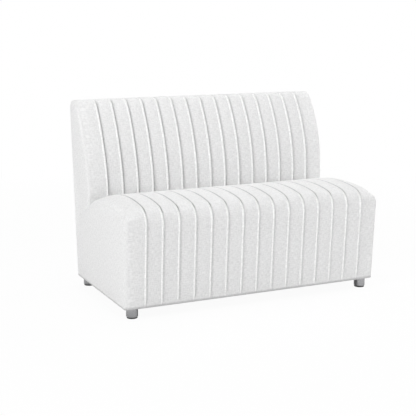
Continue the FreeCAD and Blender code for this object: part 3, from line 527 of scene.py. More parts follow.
def channel_weights():
    """Takes values at the coarse columns to the fine ones: the sine series through each channel."""
    channel = np.clip(np.searchsorted(BOUNDS, COLUMNS, side="right") - 1, 0, len(BOUNDS) - 2)
    part = (COLUMNS - BOUNDS[channel]) / np.diff(BOUNDS)[channel]
    order = np.arange(1, CELLS)
    inverse = np.linalg.inv(np.sin(np.pi * np.outer(order / CELLS, order)))
    series = np.sin(np.pi * part[:, None] * order) @ inverse
    weights = np.zeros((len(COLUMNS), CELLS * (len(BOUNDS) - 1) + 1))
    np.put_along_axis(weights, channel[:, None] * CELLS + order, series, axis=1)
    return weights


def channel_swell(name, path, inner, cap):
    """How far each point stands out after a simulation of every other row, meaned between rows."""
    points, push, length = path
    rows = np.unique(np.append(np.arange(0, len(points), 2), len(points) - 1))
    tube = tube_points(points[rows], push[rows], *across(coarse_columns()), inner)
    held = np.ones(tube.shape[:2], dtype=bool)
    held[2 : len(rows) - 2] = False
    held[:, ::CELLS] = True
    faces = tube_faces(*tube.shape[:2])
    move = swell(name, tube.reshape(-1, 3), faces, held.ravel(), cap).reshape(tube.shape)
    stand = np.einsum("vuk,vk->vu", move[: len(rows), :, 1:], push[rows]) @ channel_weights().T
    part = np.searchsorted(length[rows], length).clip(1, len(rows) - 1)
    low, high = length[rows][part - 1], length[rows][part]
    share = ((length - low) / (high - low))[:, None]
    return stand[part - 1] * (1 - share) + stand[part] * share


print(len(coarse_columns()), "columns in the simulation")

# %% [markdown]
# A tuck is a fold of cloth sewn to its own back. It stands up as a narrow ridge that leans to the
# right, and the stitches pull a groove in behind it. Separate strips would leave gaps, so the ridges
# are part of the wrap's own grid, and the same curves say where the painted shade in the groove goes.

# %% Tuck ridges
TUCK_HEIGHT, TUCK_WIDTH = 5.0, 6.6
# Grooves as (depth in tuck heights, place in tuck widths, width in tuck widths).
GROOVE_BEHIND, GROOVE_BEFORE = (1.1, 0.78, 0.23), (0.2, -0.8, 0.3)
GROOVE_SHADE_SPREAD = 0.4


def ramp(value, low, high):
    """Smooth step s * s * (3 - 2 s), from 0 at low to 1 at high."""
    value = np.clip((value - low) / (high - low), 0.0, 1.0)
    return value * value * (3 - 2 * value)


def ripple(u, v, scale):
    """Small uneven waves of hand-pulled cloth: the mean of three crossed sines."""
    u, v = u / scale, v / scale
    waves = np.sin(1.7 * u + 0.6 * v) + np.sin(0.9 * v - 1.3 * u + 1.1) + np.sin(2.3 * v + 0.4 * u + 2.0)
    return waves / 3


def bell(reach, place, width):
    """Bell curves exp(-s * s) at the same place in every tuck, in tuck widths."""
    away = reach[:, None] - TUCK_X
    return np.exp(-(((away - place * TUCK_WIDTH) / (width * TUCK_WIDTH)) ** 2))


def tuck_shape(reach):
    """(crests, grooves): a flat-topped ridge exp(-s ** 4), and two bell-shaped grooves beside it."""
    crest = TUCK_HEIGHT * np.exp(-((2.0 * (reach[:, None] - TUCK_X) / TUCK_WIDTH) ** 4))
    grooves = [-depth * TUCK_HEIGHT * bell(reach, *at) for depth, *at in (GROOVE_BEHIND, GROOVE_BEFORE)]
    return crest.sum(1), sum(grooves).sum(1)


def groove_shade(reach):
    """The share of painted shade of each column: a bell curve over the groove behind each tuck."""
    return bell(reach, GROOVE_BEHIND[1], GROOVE_SHADE_SPREAD).sum(1)


print("tucks rise", round(float(tuck_shape(COLUMNS)[0].max()), 1), "mm")

# %% Painted shade of grooves and hem
HEM_SHADE, HEM_RISE = 0.6, 6.0


def hem_shade(z):
    """The share of painted shade at the pressed hem: full at the base, none a little above it."""
    return HEM_SHADE * (1 - ramp(z - BASE - FOLD, 0.0, HEM_RISE))


def paint_shade(piece, share):
    """Writes the share of painted grey shade at each point into the attribute that the cloth reads."""
    painted_shade = piece.data.attributes.new("painted_shade", "FLOAT", "POINT")
    painted_shade.data.foreach_set("value", share.astype(np.float32).ravel())


print("the hem's line is", HEM_RISE, "mm high")

# %% Edges and their turned-in cloth
UPRIGHT = 0.47
# Steps of the turned-in cloth, as (along the surface, down into the seam).
LIP = np.array([[0.25, 0.1], [0.45, 0.6], [0.45, 1.8], [0.3, 4.0]])


def edge_share(normals):
    """The share of the edge's radius: crisp on upright edges, full where it faces up."""
    return UPRIGHT + (1 - UPRIGHT) * ramp(normals[..., 1], 0.2, 0.8)


def tighten(x, crisp):
    """Moves the edge columns out as the edge's radius shrinks, so that the end plane stays."""
    edge = WIDTH / 2 - (WIDTH / 2 - np.abs(x)) * crisp[:, None]
    return np.where(np.abs(x) >= SEAM_X, np.sign(x) * edge, np.broadcast_to(x, edge.shape))


def lip(angle, side):
    """(x, out) of turned-in cloth: steps along the edge at an angle, to one side, and down."""
    along, down = side * LIP[:, 0], LIP[:, 1]
    x = SEAM_X + EDGE * np.sin(angle) + along * np.cos(angle) - down * np.sin(angle)
    out = -EDGE * (1 - np.cos(angle)) - along * np.sin(angle) - down * np.cos(angle)
    return x, out


def add_lips(x, reach, offset, lip_x, lip_reach, drop):
    """Adds turned-in cloth to both ends of a grid's columns; drop is how far it lies below them."""
    offset = np.concatenate([offset[:, :1] + drop[::-1], offset, offset[:, -1:] + drop], 1)
    x = np.concatenate([-lip_x[::-1], x, lip_x])
    return x, np.concatenate([-lip_reach[::-1], reach, lip_reach]), offset


print("upright edges have a radius of", round(UPRIGHT * EDGE, 1), "mm")

# %% One channelled wrap
END_SWELL, LIP_STEP, DEEP_GROOVE = 0.25, 1.2, 1.5
UNEVEN_TUCKS, TUCK_WAVE = 0.06, 90.0
UNEVEN_CLOTH, CLOTH_WAVE = 0.25, 70.0


def wrap(name, path, inner, crest_rows, groove_rows, fall, crisp, cap, drawn_in=None):
    """Path by columns, with edge rounding, swelling, tucks, end fall and turned-in ends. The rows
    give the share of crests, grooves and edge radius, drawn_in the share of the width at (y, z)."""
    points, push, length = path
    x, out = across(COLUMNS)
    stand = channel_swell(name + "_sim", path, inner, cap)
    stand = stand * np.where(np.abs(COLUMNS) > TUCK_X[-1], END_SWELL, 1.0)
    crest, groove = tuck_shape(COLUMNS)
    tuck = crest * crest_rows[:, None] + groove * groove_rows[:, None]
    tuck = tuck * (1 + UNEVEN_TUCKS * ripple(COLUMNS * 3, length[:, None], TUCK_WAVE))
    offset = out * crisp[:, None] + stand + tuck + fall
    offset = offset + UNEVEN_CLOTH * ripple(COLUMNS, length[:, None], CLOTH_WAVE)
    lip_x, lip_out = lip(WRAP_ANGLE, 1.0)
    lip_reach = WRAP_REACH + LIP_STEP * np.arange(1, len(LIP) + 1)
    x, reach, offset = add_lips(x, COLUMNS, offset, lip_x, lip_reach, lip_out - out[-1])
    tube = tube_points(points, push, x, offset, inner)
    tube[: len(points), :, 0] = tighten(x, crisp)
    if drawn_in:
        tube[..., 0] *= drawn_in(tube[..., 1], tube[..., 2])
    flat_v = np.concatenate([length, np.full(len(inner), length[-1])])
    flat = np.stack(np.broadcast_arrays(reach, flat_v[:, None]), -1)
    piece = make_mesh(name, tube, *tube_faces(*tube.shape[:2]), flat=flat)
    # Painted shade: grey along the hem and in the groove behind each tuck.
    painted_shade = hem_shade(tube[..., 2])
    painted_shade[: len(points), len(LIP) : -len(LIP)] += groove_rows[:, None] / DEEP_GROOVE * groove_shade(COLUMNS)
    paint_shade(piece, painted_shade)
    return piece


def between_ends(length, start, start_full, end_full, end):
    """1 along a path, easing to 0 at start and at end, which is counted back from its end."""
    return ramp(length, start, start_full) * ramp(length[-1] - length, end, end_full)


print("tucks vary by", UNEVEN_TUCKS * 100, "percent")

# %% Seat wrap
SEAT_SWELL, SEAT_FADES = 3.5, (26.0, 40.0, 26.0, 6.0)
DECK_Z, CORE_MIDDLE_Z, CORE_LOW_Z = 386.2, 215.0, BASE + 2.5
FRONT_GROOVE, FLAT_TOP = 0.3, 0.92
END_DROP, FRONT_DROP = 24.0, 0.1

# The inner side of the filling: along the deck from rear to front, and down the front panel.
core_y = [seat[0][-1, 0], 0.0, SILL_FRONT, SILL_FRONT, SILL_FRONT]
seat_core = np.stack([core_y, [DECK_Z, DECK_Z, DECK_Z, CORE_MIDDLE_Z, CORE_LOW_Z]], -1)
seat_tucks = between_ends(seat[2], *SEAT_FADES)
on_top = ramp(seat[1][:, 1], 0.5, 0.9)
seat_crests = seat_tucks * (1 - FLAT_TOP * on_top)
seat_grooves = seat_tucks * (FRONT_GROOVE + (DEEP_GROOVE - FRONT_GROOVE) * on_top)


def end_drop(normals):
    """How far the seat's ends sink: all of it facing up, a tenth in front, none at the rear."""
    front = FRONT_DROP * (1 - ramp(normals[..., 0], 0.5, 0.9))
    return -END_DROP * (front + (1 - FRONT_DROP) * ramp(normals[..., 1], 0.35, 0.95))


past_tuck = np.clip((np.abs(COLUMNS) - TUCK_X[-1]) / (WRAP_REACH - TUCK_X[-1]), 0.0, 1.0)
seat_fall = end_drop(seat[1])[:, None] * past_tuck**2
seat_crisp = edge_share(seat[1])
seat_wrap = wrap(
    "seat_wrap", seat, seat_core, seat_crests, seat_grooves, seat_fall, seat_crisp, SEAT_SWELL
)
dress(seat_wrap, "woven_cloth", CLOTH, "seat_cover", "seat_foam", "front_pad")

# %% Back wrap
BACK_SWELL, BACK_FADES = 2.5, (14.0, 28.0, 16.0, 2.0)
BACK_CREST, BACK_CREST_FLAT = 1.45, 0.95
BACK_GROOVE, BACK_GROOVE_FLAT = 0.85, 0.8
WAIST, WAIST_RISE, WAIST_BEHIND = 0.01, 250.0, (20.0, 100.0)
FRAME_LINE = [[349.0, 817.0], [300.5, 817.0], [278.0, 520.0]]
CORE_REAR_Y, CORE_BEHIND, CORE_SINK, CORE_POINTS = 262.0, 12.0, 50.0, 6

# The inner side of the filling: down the back's frame, and forward just under the seat's shoulder.
back_floor = np.linspace(CORE_REAR_Y, BACK_Y + CORE_BEHIND, CORE_POINTS)
back_core = np.concatenate([FRAME_LINE, np.stack([back_floor, shoulder_z(back_floor) - CORE_SINK], -1)])
back_tucks = between_ends(back[2], *BACK_FADES)
back_up = back[1][:, 1]
back_crests = BACK_CREST * back_tucks * (1 - BACK_CREST_FLAT * ramp(back_up, 0.8, 1.0))
back_grooves = BACK_GROOVE * back_tucks * (1 - BACK_GROOVE_FLAT * ramp(back_up, 0.9, 1.0))
back_crisp = np.full(len(back[0]), UPRIGHT)


def waist(y, z):
    """The back's share of its width: a hundredth less at the seat, easing out upwards and rearwards."""
    low = 1 - ramp(z, PLUMB_Z, PLUMB_Z + WAIST_RISE)
    return 1 - WAIST * low * (1 - ramp(behind_face(y, z), *WAIST_BEHIND))


back_wrap = wrap(
    "back_wrap", back, back_core, back_crests, back_grooves, 0.0, back_crisp, BACK_SWELL, waist
)
dress(back_wrap, "woven_cloth", CLOTH, "back_cover", "back_foam")

# %% [markdown]
# ## Side panels
#
# Each end of the bench has two plain padded panels: one for the seat and a taller one for the back.
# Each is sewn to the wrap half way round the edge, and bulges softly between its seams. The rounded
# edge is a strip of rings that follow the section. Inside it, the flat is a patch stretched between
# its four borders, with even cells, so that the cloth simulation can blow it up.

# %% Side panel borders
SOFTEN_PASSES = 12


def resample(path, count):
    """Points evenly spaced along a path, with their normals."""
    points, normals, length = path
    at = np.linspace(0, length[-1], count)
    columns = [np.interp(at, length, value) for value in (*points.T, *normals.T)]
    return np.stack(columns[:2], -1), np.stack(columns[2:], -1)


def border(parts, counts):
    """A panel's border: its parts resampled and joined, and each normal meaned with its neighbours."""
    points, normals, _ = chain(*[resample(part, count) for part, count in zip(parts, counts)])
    for _ in range(SOFTEN_PASSES):
        middle = (normals[:-2] + 2 * normals[1:-1] + normals[2:]) / 4
        normals = np.concatenate([normals[:1], middle, normals[-1:]])
    return points, normals / np.linalg.norm(normals, axis=1, keepdims=True)


def patch(front, top, rear, bottom):
    """A Coons patch: the stretches between both pairs of borders, less that of the four corners."""
    a = np.linspace(0, 1, len(top))[None, :, None]
    b = np.linspace(0, 1, len(front))[:, None, None]
    sides = (1 - a) * front[:, None] + a * rear[:, None]
    ends = (1 - b) * bottom[None] + b * top[None]
    low = (1 - a) * bottom[0] + a * bottom[-1]
    high = (1 - a) * top[0] + a * top[-1]
    return sides + ends - (1 - b) * low - b * high


print("corners are softened in", SOFTEN_PASSES, "passes")

# %% One side panel
PANEL_X = SEAM_X + 1.0
RING_POINTS, FREE_RINGS = 7, 4
WALL_DROP, LIP_LENGTH = 4.0, 2.0
HEM_IN, HEM_UNDER = 2.5, 3.0


def panel_strip(line, normal, narrow, shallow):
    """The rounded border and its flat cut: inner wall, turned-in lip and rings at each point."""
    lip_x, lip_out = lip(SIDE_ANGLE, -1.0)
    turn = np.linspace(SIDE_ANGLE, np.pi / 2, RING_POINTS)
    x = np.concatenate([lip_x[::-1], SEAM_X + EDGE * np.sin(turn)])
    out = np.concatenate([lip_out[::-1], -EDGE * (1 - np.cos(turn))])
    past = EDGE * (np.pi / 2 - turn)
    past = np.concatenate([np.full(len(lip_x), past[0] + LIP_LENGTH), past])
    wall = np.full((len(line), 1), PANEL_X)
    x = np.concatenate([wall, x[-1] - (x[-1] - x) * shallow[:, None]], 1)
    out = np.concatenate([[out[0] - WALL_DROP], out]) * narrow[:, None]
    past = np.concatenate([past[:1] + WALL_DROP, past]) * narrow[:, None]
    section = line[:, None] + out[..., None] * normal[:, None]
    flat = section[:, -1:] + past[..., None] * normal[:, None]
    return np.concatenate([x[..., None], section], -1), flat


def turned_hem(points, rings):
    """The panel's lower edge turned under: moved in and down, and in from its two ends."""
    under = points + [-HEM_IN, 0.0, -HEM_UNDER]
    under[:, 0] = np.maximum(under[:, 0], PANEL_X)
    under[:rings, 1] += HEM_IN
    under[-rings:, 1] -= HEM_IN
    return under


def panel_form(name, strip, strip_flat, tall, wide, bottom, cap):
    """A right-hand panel: strip, patch and turned-under lower edge closed into a form and blown up."""
    up, over, down = slice(0, tall), slice(tall - 1, tall + wide - 1), slice(tall + wide - 2, None)
    rim = strip[:, -1]
    front, top, rear = rim[up], rim[over], rim[down][::-1]
    low = np.insert(bottom(front[0, 1:], rear[0, 1:], wide), 0, rim[0, 0], axis=1)
    panel = patch(front, top, rear, low)
    count, rings = strip.shape[:2]
    ring = grid_index(count, rings)
    cell = np.full((tall, wide), -1)
    cell[:, 0], cell[-1], cell[:, -1] = ring[up, -1], ring[over, -1], ring[down, -1][::-1]
    fresh = cell < 0
    cell[fresh] = count * rings + np.arange(fresh.sum())
    points = np.concatenate([strip.reshape(-1, 3), panel[fresh]])
    flat = np.concatenate([strip_flat.reshape(-1, 2), panel[fresh][:, 1:]])
    hem = np.concatenate([ring[0], cell[0, 1:-1], ring[-1, ::-1]])
    turned = len(points) + np.arange(len(hem))
    hem_quads = np.stack([turned[:-1], turned[1:], hem[1:], hem[:-1]], -1)
    points = np.concatenate([points, turned_hem(points[hem], rings)])
    flat = np.concatenate([flat, flat[hem] - [0.0, HEM_UNDER]])
    quads = np.concatenate([index_quads(ring), index_quads(cell), hem_quads])
    caps = (np.concatenate([ring[:, 0], turned[[-1, 0]]]), turned[::-1])
    held = np.ones(len(points), dtype=bool)
    held[cell[1:, :]] = False
    held[ring[:, :-FREE_RINGS]] = True
    held[hem] = True
    points = points + swell(name + "_sim", points, (quads, caps), held, cap)
    return points, quads, caps, flat


def panel_pair(name, covers, form):
    """Makes the right panel and its mirror image on the left, each for its own CAD nodes."""
    points, quads, caps, flat = form
    for side, sign in (("right", 1.0), ("left", -1.0)):
        placed, cut = points * [sign, 1.0, 1.0], flat * [sign, 1.0]
        piece = make_mesh(f"{name}_{side}", placed, quads, caps, flat=cut, flip=sign < 0)
        # Painted shade along the panel's pressed hem.
        paint_shade(piece, hem_shade(points[:, 2]))
        dress(piece, "woven_cloth", CLOTH, *[f"{node}_{side}" for node in covers])


print("side panels have an inner wall at", round(PANEL_X, 1), "mm")

# %% Seat side panels
HEM_Z = BASE + HEM_UNDER
SIDE_STEP, ROUND_STEP = 4.0, 3.0
SEAT_TALL, SEAT_WIDE, SEAT_SIDE_SWELL = 46, 50, 5.5
ROLL_SPLIT = np.radians(-55.0)
SHOULDER_END = bearing(SHOULDER, CREASE)
CREASE_IN, CREASE_OUT = 0.12, 0.1
CREASE_NARROW, CREASE_SHALLOW = 0.2, 0.1

seat_front = chain(
    run((front_y(HEM_Z), HEM_Z), around(ROLL, ROLL_R, ROLL_START), FRONT_NORMAL, SIDE_STEP),
    arc(ROLL, ROLL_R, ROLL_START, ROLL_SPLIT, SIDE_STEP),
)
seat_top = chain(
    arc(ROLL, ROLL_R, ROLL_SPLIT, ROLL_END, SIDE_STEP),
    arc(CROWN, CROWN_R, ROLL_END, DIP, SIDE_STEP),
)
crease = arc(SHOULDER, SHOULDER_R, DIP, SHOULDER_END, SIDE_STEP)
rear_foot = (rear_y(HEM_Z, REAR_SKIN), HEM_Z)
seat_rear = chain(crease, run(crease[0][-1], rear_foot, REAR_NORMAL, SIDE_STEP))
seat_line, seat_normal = border((seat_front, seat_top, seat_rear), (SEAT_TALL, SEAT_WIDE, SEAT_TALL))
seat_line = seat_line + end_drop(seat_normal)[:, None] * seat_normal

# Along the crease the edge is narrower and shallower, so that it fits under the back.
crease_share = SHOULDER_R * (SHOULDER_END - DIP) / seat_rear[2][-1]
along_rear = np.linspace(0, 1, SEAT_TALL)[1:]
past_crease = ramp(along_rear, crease_share, crease_share + CREASE_OUT)
in_crease = ramp(along_rear, 0.0, CREASE_IN) * (1 - past_crease)
shrink = np.concatenate([np.zeros(SEAT_TALL + SEAT_WIDE - 1), in_crease])
seat_share = edge_share(seat_normal)
narrow, shallow = [seat_share * (1 - part * shrink) for part in (CREASE_NARROW, CREASE_SHALLOW)]


def level_bottom(start, end, count):
    """A straight lower border."""
    return start + (end - start) * np.linspace(0, 1, count)[:, None]


seat_strip = panel_strip(seat_line, seat_normal, narrow, shallow)
seat_side = panel_form("seat_side", *seat_strip, SEAT_TALL, SEAT_WIDE, level_bottom, SEAT_SIDE_SWELL)
panel_pair("seat_side", ("seat_side_cover", "seat_side_pad"), seat_side)

# %% Back side panels
BACK_SINK, SINK_UNTIL = 48.0, 0.35
BACK_TALL, BACK_WIDE, BACK_SIDE_SWELL = 58, 22, 3.5
BACK_SPLIT, CORNER_SPLIT = np.radians([-40.0, 45.0])
CREASE_PULL, PULL_HEIGHTS, WALL_CLEAR = 8.0, (440.0, 600.0), 5.0
PULL_BEHIND, PULL_BEFORE = (6.0, 36.0), (6.0, 46.0)

face_start = face_angle(shoulder_z(BACK_Y + EDGE) - BACK_SINK)
back_front = chain(
    arc(FACE, FACE_R, face_start, FACE_END, SIDE_STEP),
    arc(BACK_ROLL, BACK_ROLL_R, FACE_END, BACK_SPLIT, ROUND_STEP),
)
back_top = chain(
    arc(BACK_ROLL, BACK_ROLL_R, BACK_SPLIT, 0.0, ROUND_STEP),
    level_top(ROUND_STEP),
    arc(CORNER, CORNER_R, 0.0, CORNER_SPLIT, ROUND_STEP),
)
rear_corner = arc(CORNER, CORNER_R, CORNER_SPLIT, CORNER_END, ROUND_STEP)
rear_end_z = CREASE[1] - BACK_SINK
rear_end = (rear_y(rear_end_z, REAR_SKIN), rear_end_z)
back_rear = chain(rear_corner, run(rear_corner[0][-1], rear_end, REAR_NORMAL, SIDE_STEP))
back_border = border((back_front, back_top, back_rear), (BACK_TALL, BACK_WIDE, BACK_TALL))
back_share = np.full(len(back_border[0]), UPRIGHT)


def shoulder_bottom(start, end, count):
    """A lower border just under the seat's shoulder, easing to the rear end point."""
    line = level_bottom(start, end, count)
    share = ramp(np.linspace(0, 1, count), SINK_UNTIL, 1.0)
    line[:, 1] = (1 - share) * (shoulder_z(line[:, 0]) - BACK_SINK) + share * end[1]
    return line


back_strip = panel_strip(*back_border, back_share, back_share)
back_side = panel_form(
    "back_side", *back_strip, BACK_TALL, BACK_WIDE, shoulder_bottom, BACK_SIDE_SWELL
)
# Where the panel meets the seat it is pulled in, which leaves the soft crease between the two. It
# follows the wrap's waist where that is deeper.
side_x, side_y, side_z = back_side[0].T
before_rear = rear_y(side_z, REAR_SKIN) - side_y
pulled = ramp(behind_face(side_y, side_z), *PULL_BEHIND) * ramp(before_rear, *PULL_BEFORE)
pulled = pulled * (1 - ramp(side_z, *PULL_HEIGHTS)) * (side_x > PANEL_X + WALL_CLEAR)
back_side[0][:, 0] = np.minimum(side_x * waist(side_y, side_z), side_x - CREASE_PULL * pulled)
panel_pair("back_side", ("back_side_cover", "back_side_pad"), back_side)

# %% [markdown]
# ## Outside back and dust cover
#
# The rear is closed with a plain panel of the same cloth, stretched over hardboard and stapled under
# the sill. The underside is closed with thin black cambric, stapled along the sills, which sags a
# little between them. Both are thin, so one layer of grid with a Solidify modifier is enough.

# %% Outside back
OUTSIDE_THICK, OUTSIDE_STEP, OUTSIDE_HEM_STEP = 1.6, 14.0, 3.0
SILL_REAR, FLAT_POINTS = 293.5, 70
TUCK_IN, TUCK_IN_LENGTH = 1.6, 5.0
OUTSIDE_UNEVEN, OUTSIDE_WAVE = 0.3, 90.0
OUTSIDE_LIP, OUTSIDE_LIP_DROP = np.array([1.0, 2.0, 3.5]), 0.3


def thin_sheet(name, grid, flat, thick):
    """A sheet from a grid of points: one layer of quads, thickened to both sides."""
    quads = index_quads(grid_index(*grid.shape[:2]))
    piece = make_mesh(name, grid, quads, flat=flat, flip=True)
    thickness = piece.modifiers.new("thickness", "SOLIDIFY")
    thickness.thickness = thick * MM
    thickness.offset = 0.0
    return piece


# A short hem under the rear sill, a fold, and the raked rear up to the back's corner.
rear_top = around(CORNER, CORNER_OUT, CORNER_END)
rear_fold = (rear_y(BASE + FOLD, FOLD), (np.pi, CORNER_END))
points, push, length = hemmed(SILL_REAR, *rear_fold, rear_top, OUTSIDE_HEM_STEP, OUTSIDE_STEP)
edge_reach = np.linspace(SEAM_X, WRAP_REACH, EDGE_POINTS)
flat_reach = np.linspace(-SEAM_X, SEAM_X, FLAT_POINTS)[1:-1]
reach = np.concatenate([-edge_reach[::-1], flat_reach, edge_reach])
x, out = across(reach)
crisp = np.full(len(points), UPRIGHT)
tuck_in = TUCK_IN * ramp(length, length[-1] - TUCK_IN_LENGTH, length[-1])
out = out * crisp[:, None] - 0.5 * OUTSIDE_THICK - tuck_in[:, None]
out = out + OUTSIDE_UNEVEN * ripple(reach, length[:, None], OUTSIDE_WAVE)
lip_x, lip_out = [value[: len(OUTSIDE_LIP)] for value in lip(WRAP_ANGLE, 1.0)]
lip_drop = lip_out - lip_out[0] - OUTSIDE_LIP_DROP
x, reach, out = add_lips(x, reach, out, lip_x, WRAP_REACH + OUTSIDE_LIP, lip_drop)
section = points[:, None] + out[..., None] * push[:, None]
outside_grid = np.concatenate([tighten(x, crisp)[..., None], section], -1)
outside_flat = np.stack(np.broadcast_arrays(reach, length[:, None]), -1)
outside_back = thin_sheet("outside_back", outside_grid, outside_flat, OUTSIDE_THICK)
dress(outside_back, "woven_cloth", CLOTH, "outside_back_cover")

# %% [markdown]
# Cambric is a thin, close black cloth: a dull near-black with a faint grain, drawn 3 mm wide, which
# is coarser than the real one. One noise gives its shade and its height. The same function, with
# other stretches and colours, makes the metal of the feet and the frame's finishes.

# %% Grained finishes


def grained(name, roughness, scale, colours, depth, spread, place, detail=3.0, **look):
    """Colour and height follow one noise of scale cycles per metre along x, y and z, cut to spread;
    so does the roughness where it is a pair."""
    material, tree = blank_finish(name)
    grain = add(tree, "VectorMath", {0: add(tree, **place), 1: scale}, operation="MULTIPLY")
    noise = add(tree, "TexNoise", {"Vector": grain, "Scale": 1.0, "Detail": detail})
    share = add(tree, "MapRange", {"Value": noise, "From Min": spread[0], "From Max": spread[1]})
    pair = {MIX_DARK: linear(colours[0]), MIX_LIGHT: linear(colours[1])}
    shade = add(tree, "Mix", {0: share, **pair}, MIX_RESULT, data_type="RGBA")
    if isinstance(roughness, tuple):
        span = {"From Min": 0.3, "From Max": 0.7, "To Min": roughness[0], "To Max": roughness[1]}
        roughness = add(tree, "MapRange", {"Value": noise, **span})
    close_finish(tree, shade, roughness, share, depth, look)
    return material


WHOLE_NOISE, MIDDLE_NOISE = (0.0, 1.0), (0.3, 0.7)
DULL = {"detail": 2.0, "Specular IOR Level": 0.2}
BLACKS = ("#121214", "#2A2A2D")
CAMBRIC = grained("black_cambric", 0.95, (330.0,) * 3, BLACKS, 0.0003, WHOLE_NOISE, ON_CLOTH, **DULL)
print("made", CAMBRIC.name)

# %% Dust cover
DUST_THICK, DUST_GAP, DUST_SAG = 0.8, 0.5, 3.5
DUST_UNEVEN, DUST_WAVE = 0.5, 40.0
DUST_COLUMNS, DUST_ROWS = 118, 62
BAYS = ((-509.6, -35.0), (35.0, 509.6))
BAY_Y = (-243.7, 223.5)


def hump(value, low, high):
    """A half sine between low and high, and 0 outside."""
    return np.sin(np.pi * np.clip((value - low) / (high - low), 0.0, 1.0))


dust_low, dust_high = [np.array(corner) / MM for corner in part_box("dust_cover")]
dust_x, dust_y = np.meshgrid(
    np.linspace(dust_low[0], dust_high[0], DUST_COLUMNS),
    np.linspace(dust_low[1], dust_high[1], DUST_ROWS),
)
sag = sum(hump(dust_x, *bay) for bay in BAYS) * hump(dust_y, *BAY_Y)
dust_z = dust_high[2] - DUST_GAP - DUST_SAG * sag
dust_z = dust_z + DUST_UNEVEN * sag * ripple(dust_x, dust_y, DUST_WAVE)
dust_grid = np.stack([dust_x, dust_y, dust_z], -1)
dust_cloth = thin_sheet("dust_cloth", dust_grid, dust_grid[..., :2], DUST_THICK)
dress(dust_cloth, "dust_cloth", CAMBRIC, "dust_cover")

# %% [markdown]
# ## Feet
#
# Each foot is a short turned cylinder of brushed aluminium with a softly rounded lower edge and a
# broken upper one. Turning is a profile carried round an axis, so the foot is a grid of profile
# points by angles. The brushing runs round the foot, as a lathe leaves it: lines 1.2 mm apart,
# coarser than the real ones.

# %% Feet
FOOT_TURNS, FOOT_R, FOOT_MIDDLE = 72, 25.0, 8.0
LOWER_ROUND, UPPER_ROUND = 5.0, 1.5
LOWER_POINTS, SIDE_POINTS, UPPER_POINTS = 9, 6, 5
BRUSHING, GREYS = (15.0, 830.0, 1.0), ("#9A9A9C", "#BCBCBE")


def foot_profile(radius, low, high):
    """(radius, height) from the axis below, round the lower edge, up the side, and back above."""
    below = (radius - LOWER_ROUND, low + LOWER_ROUND)
    above = (radius - UPPER_ROUND, high - UPPER_ROUND)
    lower = around(below, LOWER_ROUND, np.linspace(np.pi, np.pi / 2, LOWER_POINTS))
    upper = around(above, UPPER_ROUND, np.linspace(np.pi / 2, 0.0, UPPER_POINTS))
    side_z = np.linspace(below[1], above[1], SIDE_POINTS + 2)[1:-1]
    side = np.stack([np.full(SIDE_POINTS, radius), side_z], -1)
    return np.concatenate([[[FOOT_MIDDLE, low]], lower, side, upper, [[FOOT_MIDDLE, high]]])


def turned_foot(place):
    """Carries the profile round the foot's axis and closes it below and above."""
    low, high = [np.array(corner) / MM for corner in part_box("foot_" + place)]
    centre = (low + high) / 2
    profile = foot_profile((high[0] - low[0]) / 2, low[2], high[2])
    angle = np.linspace(0, 2 * np.pi, FOOT_TURNS + 1)[:-1, None]
    x = centre[0] + profile[:, 0] * np.cos(angle)
    y = centre[1] + profile[:, 0] * np.sin(angle)
    points = np.stack([x, y, np.broadcast_to(profile[:, 1], x.shape)], -1)
    reach = np.insert(np.cumsum(np.linalg.norm(np.diff(profile, axis=0), axis=1)), 0, 0.0)
    flat = np.stack(np.broadcast_arrays(FOOT_R * angle, reach), -1)
    return make_mesh("turned_foot_" + place, points, *tube_faces(*x.shape), flat, flip=True)


METAL = grained(
    "brushed_aluminium", (0.14, 0.24), BRUSHING, GREYS, 0.00006, WHOLE_NOISE, ON_CLOTH, Metallic=1.0
)
for place in ("front_left", "front_right", "rear_left", "rear_right"):
    dress(turned_foot(place), "foot_metal", METAL, "foot_" + place)

# %% [markdown]
# ## Finishes of the frame
#
# Most of the frame is inside the upholstery, but the model is used on its own too, so every node
# gets its real finish. Wood is a noise stretched along its grain, plywood shows a broad figure,
# hardboard a fine fleck, steel a faint brushing. They read Object coordinates, because the CAD nodes
# sit at the origin with their place in their mesh.

# %% Frame finishes
IN_SPACE = {"kind": "TexCoord", "out": "Object"}
BEECH = ("#B98F66", "#D6B48C")
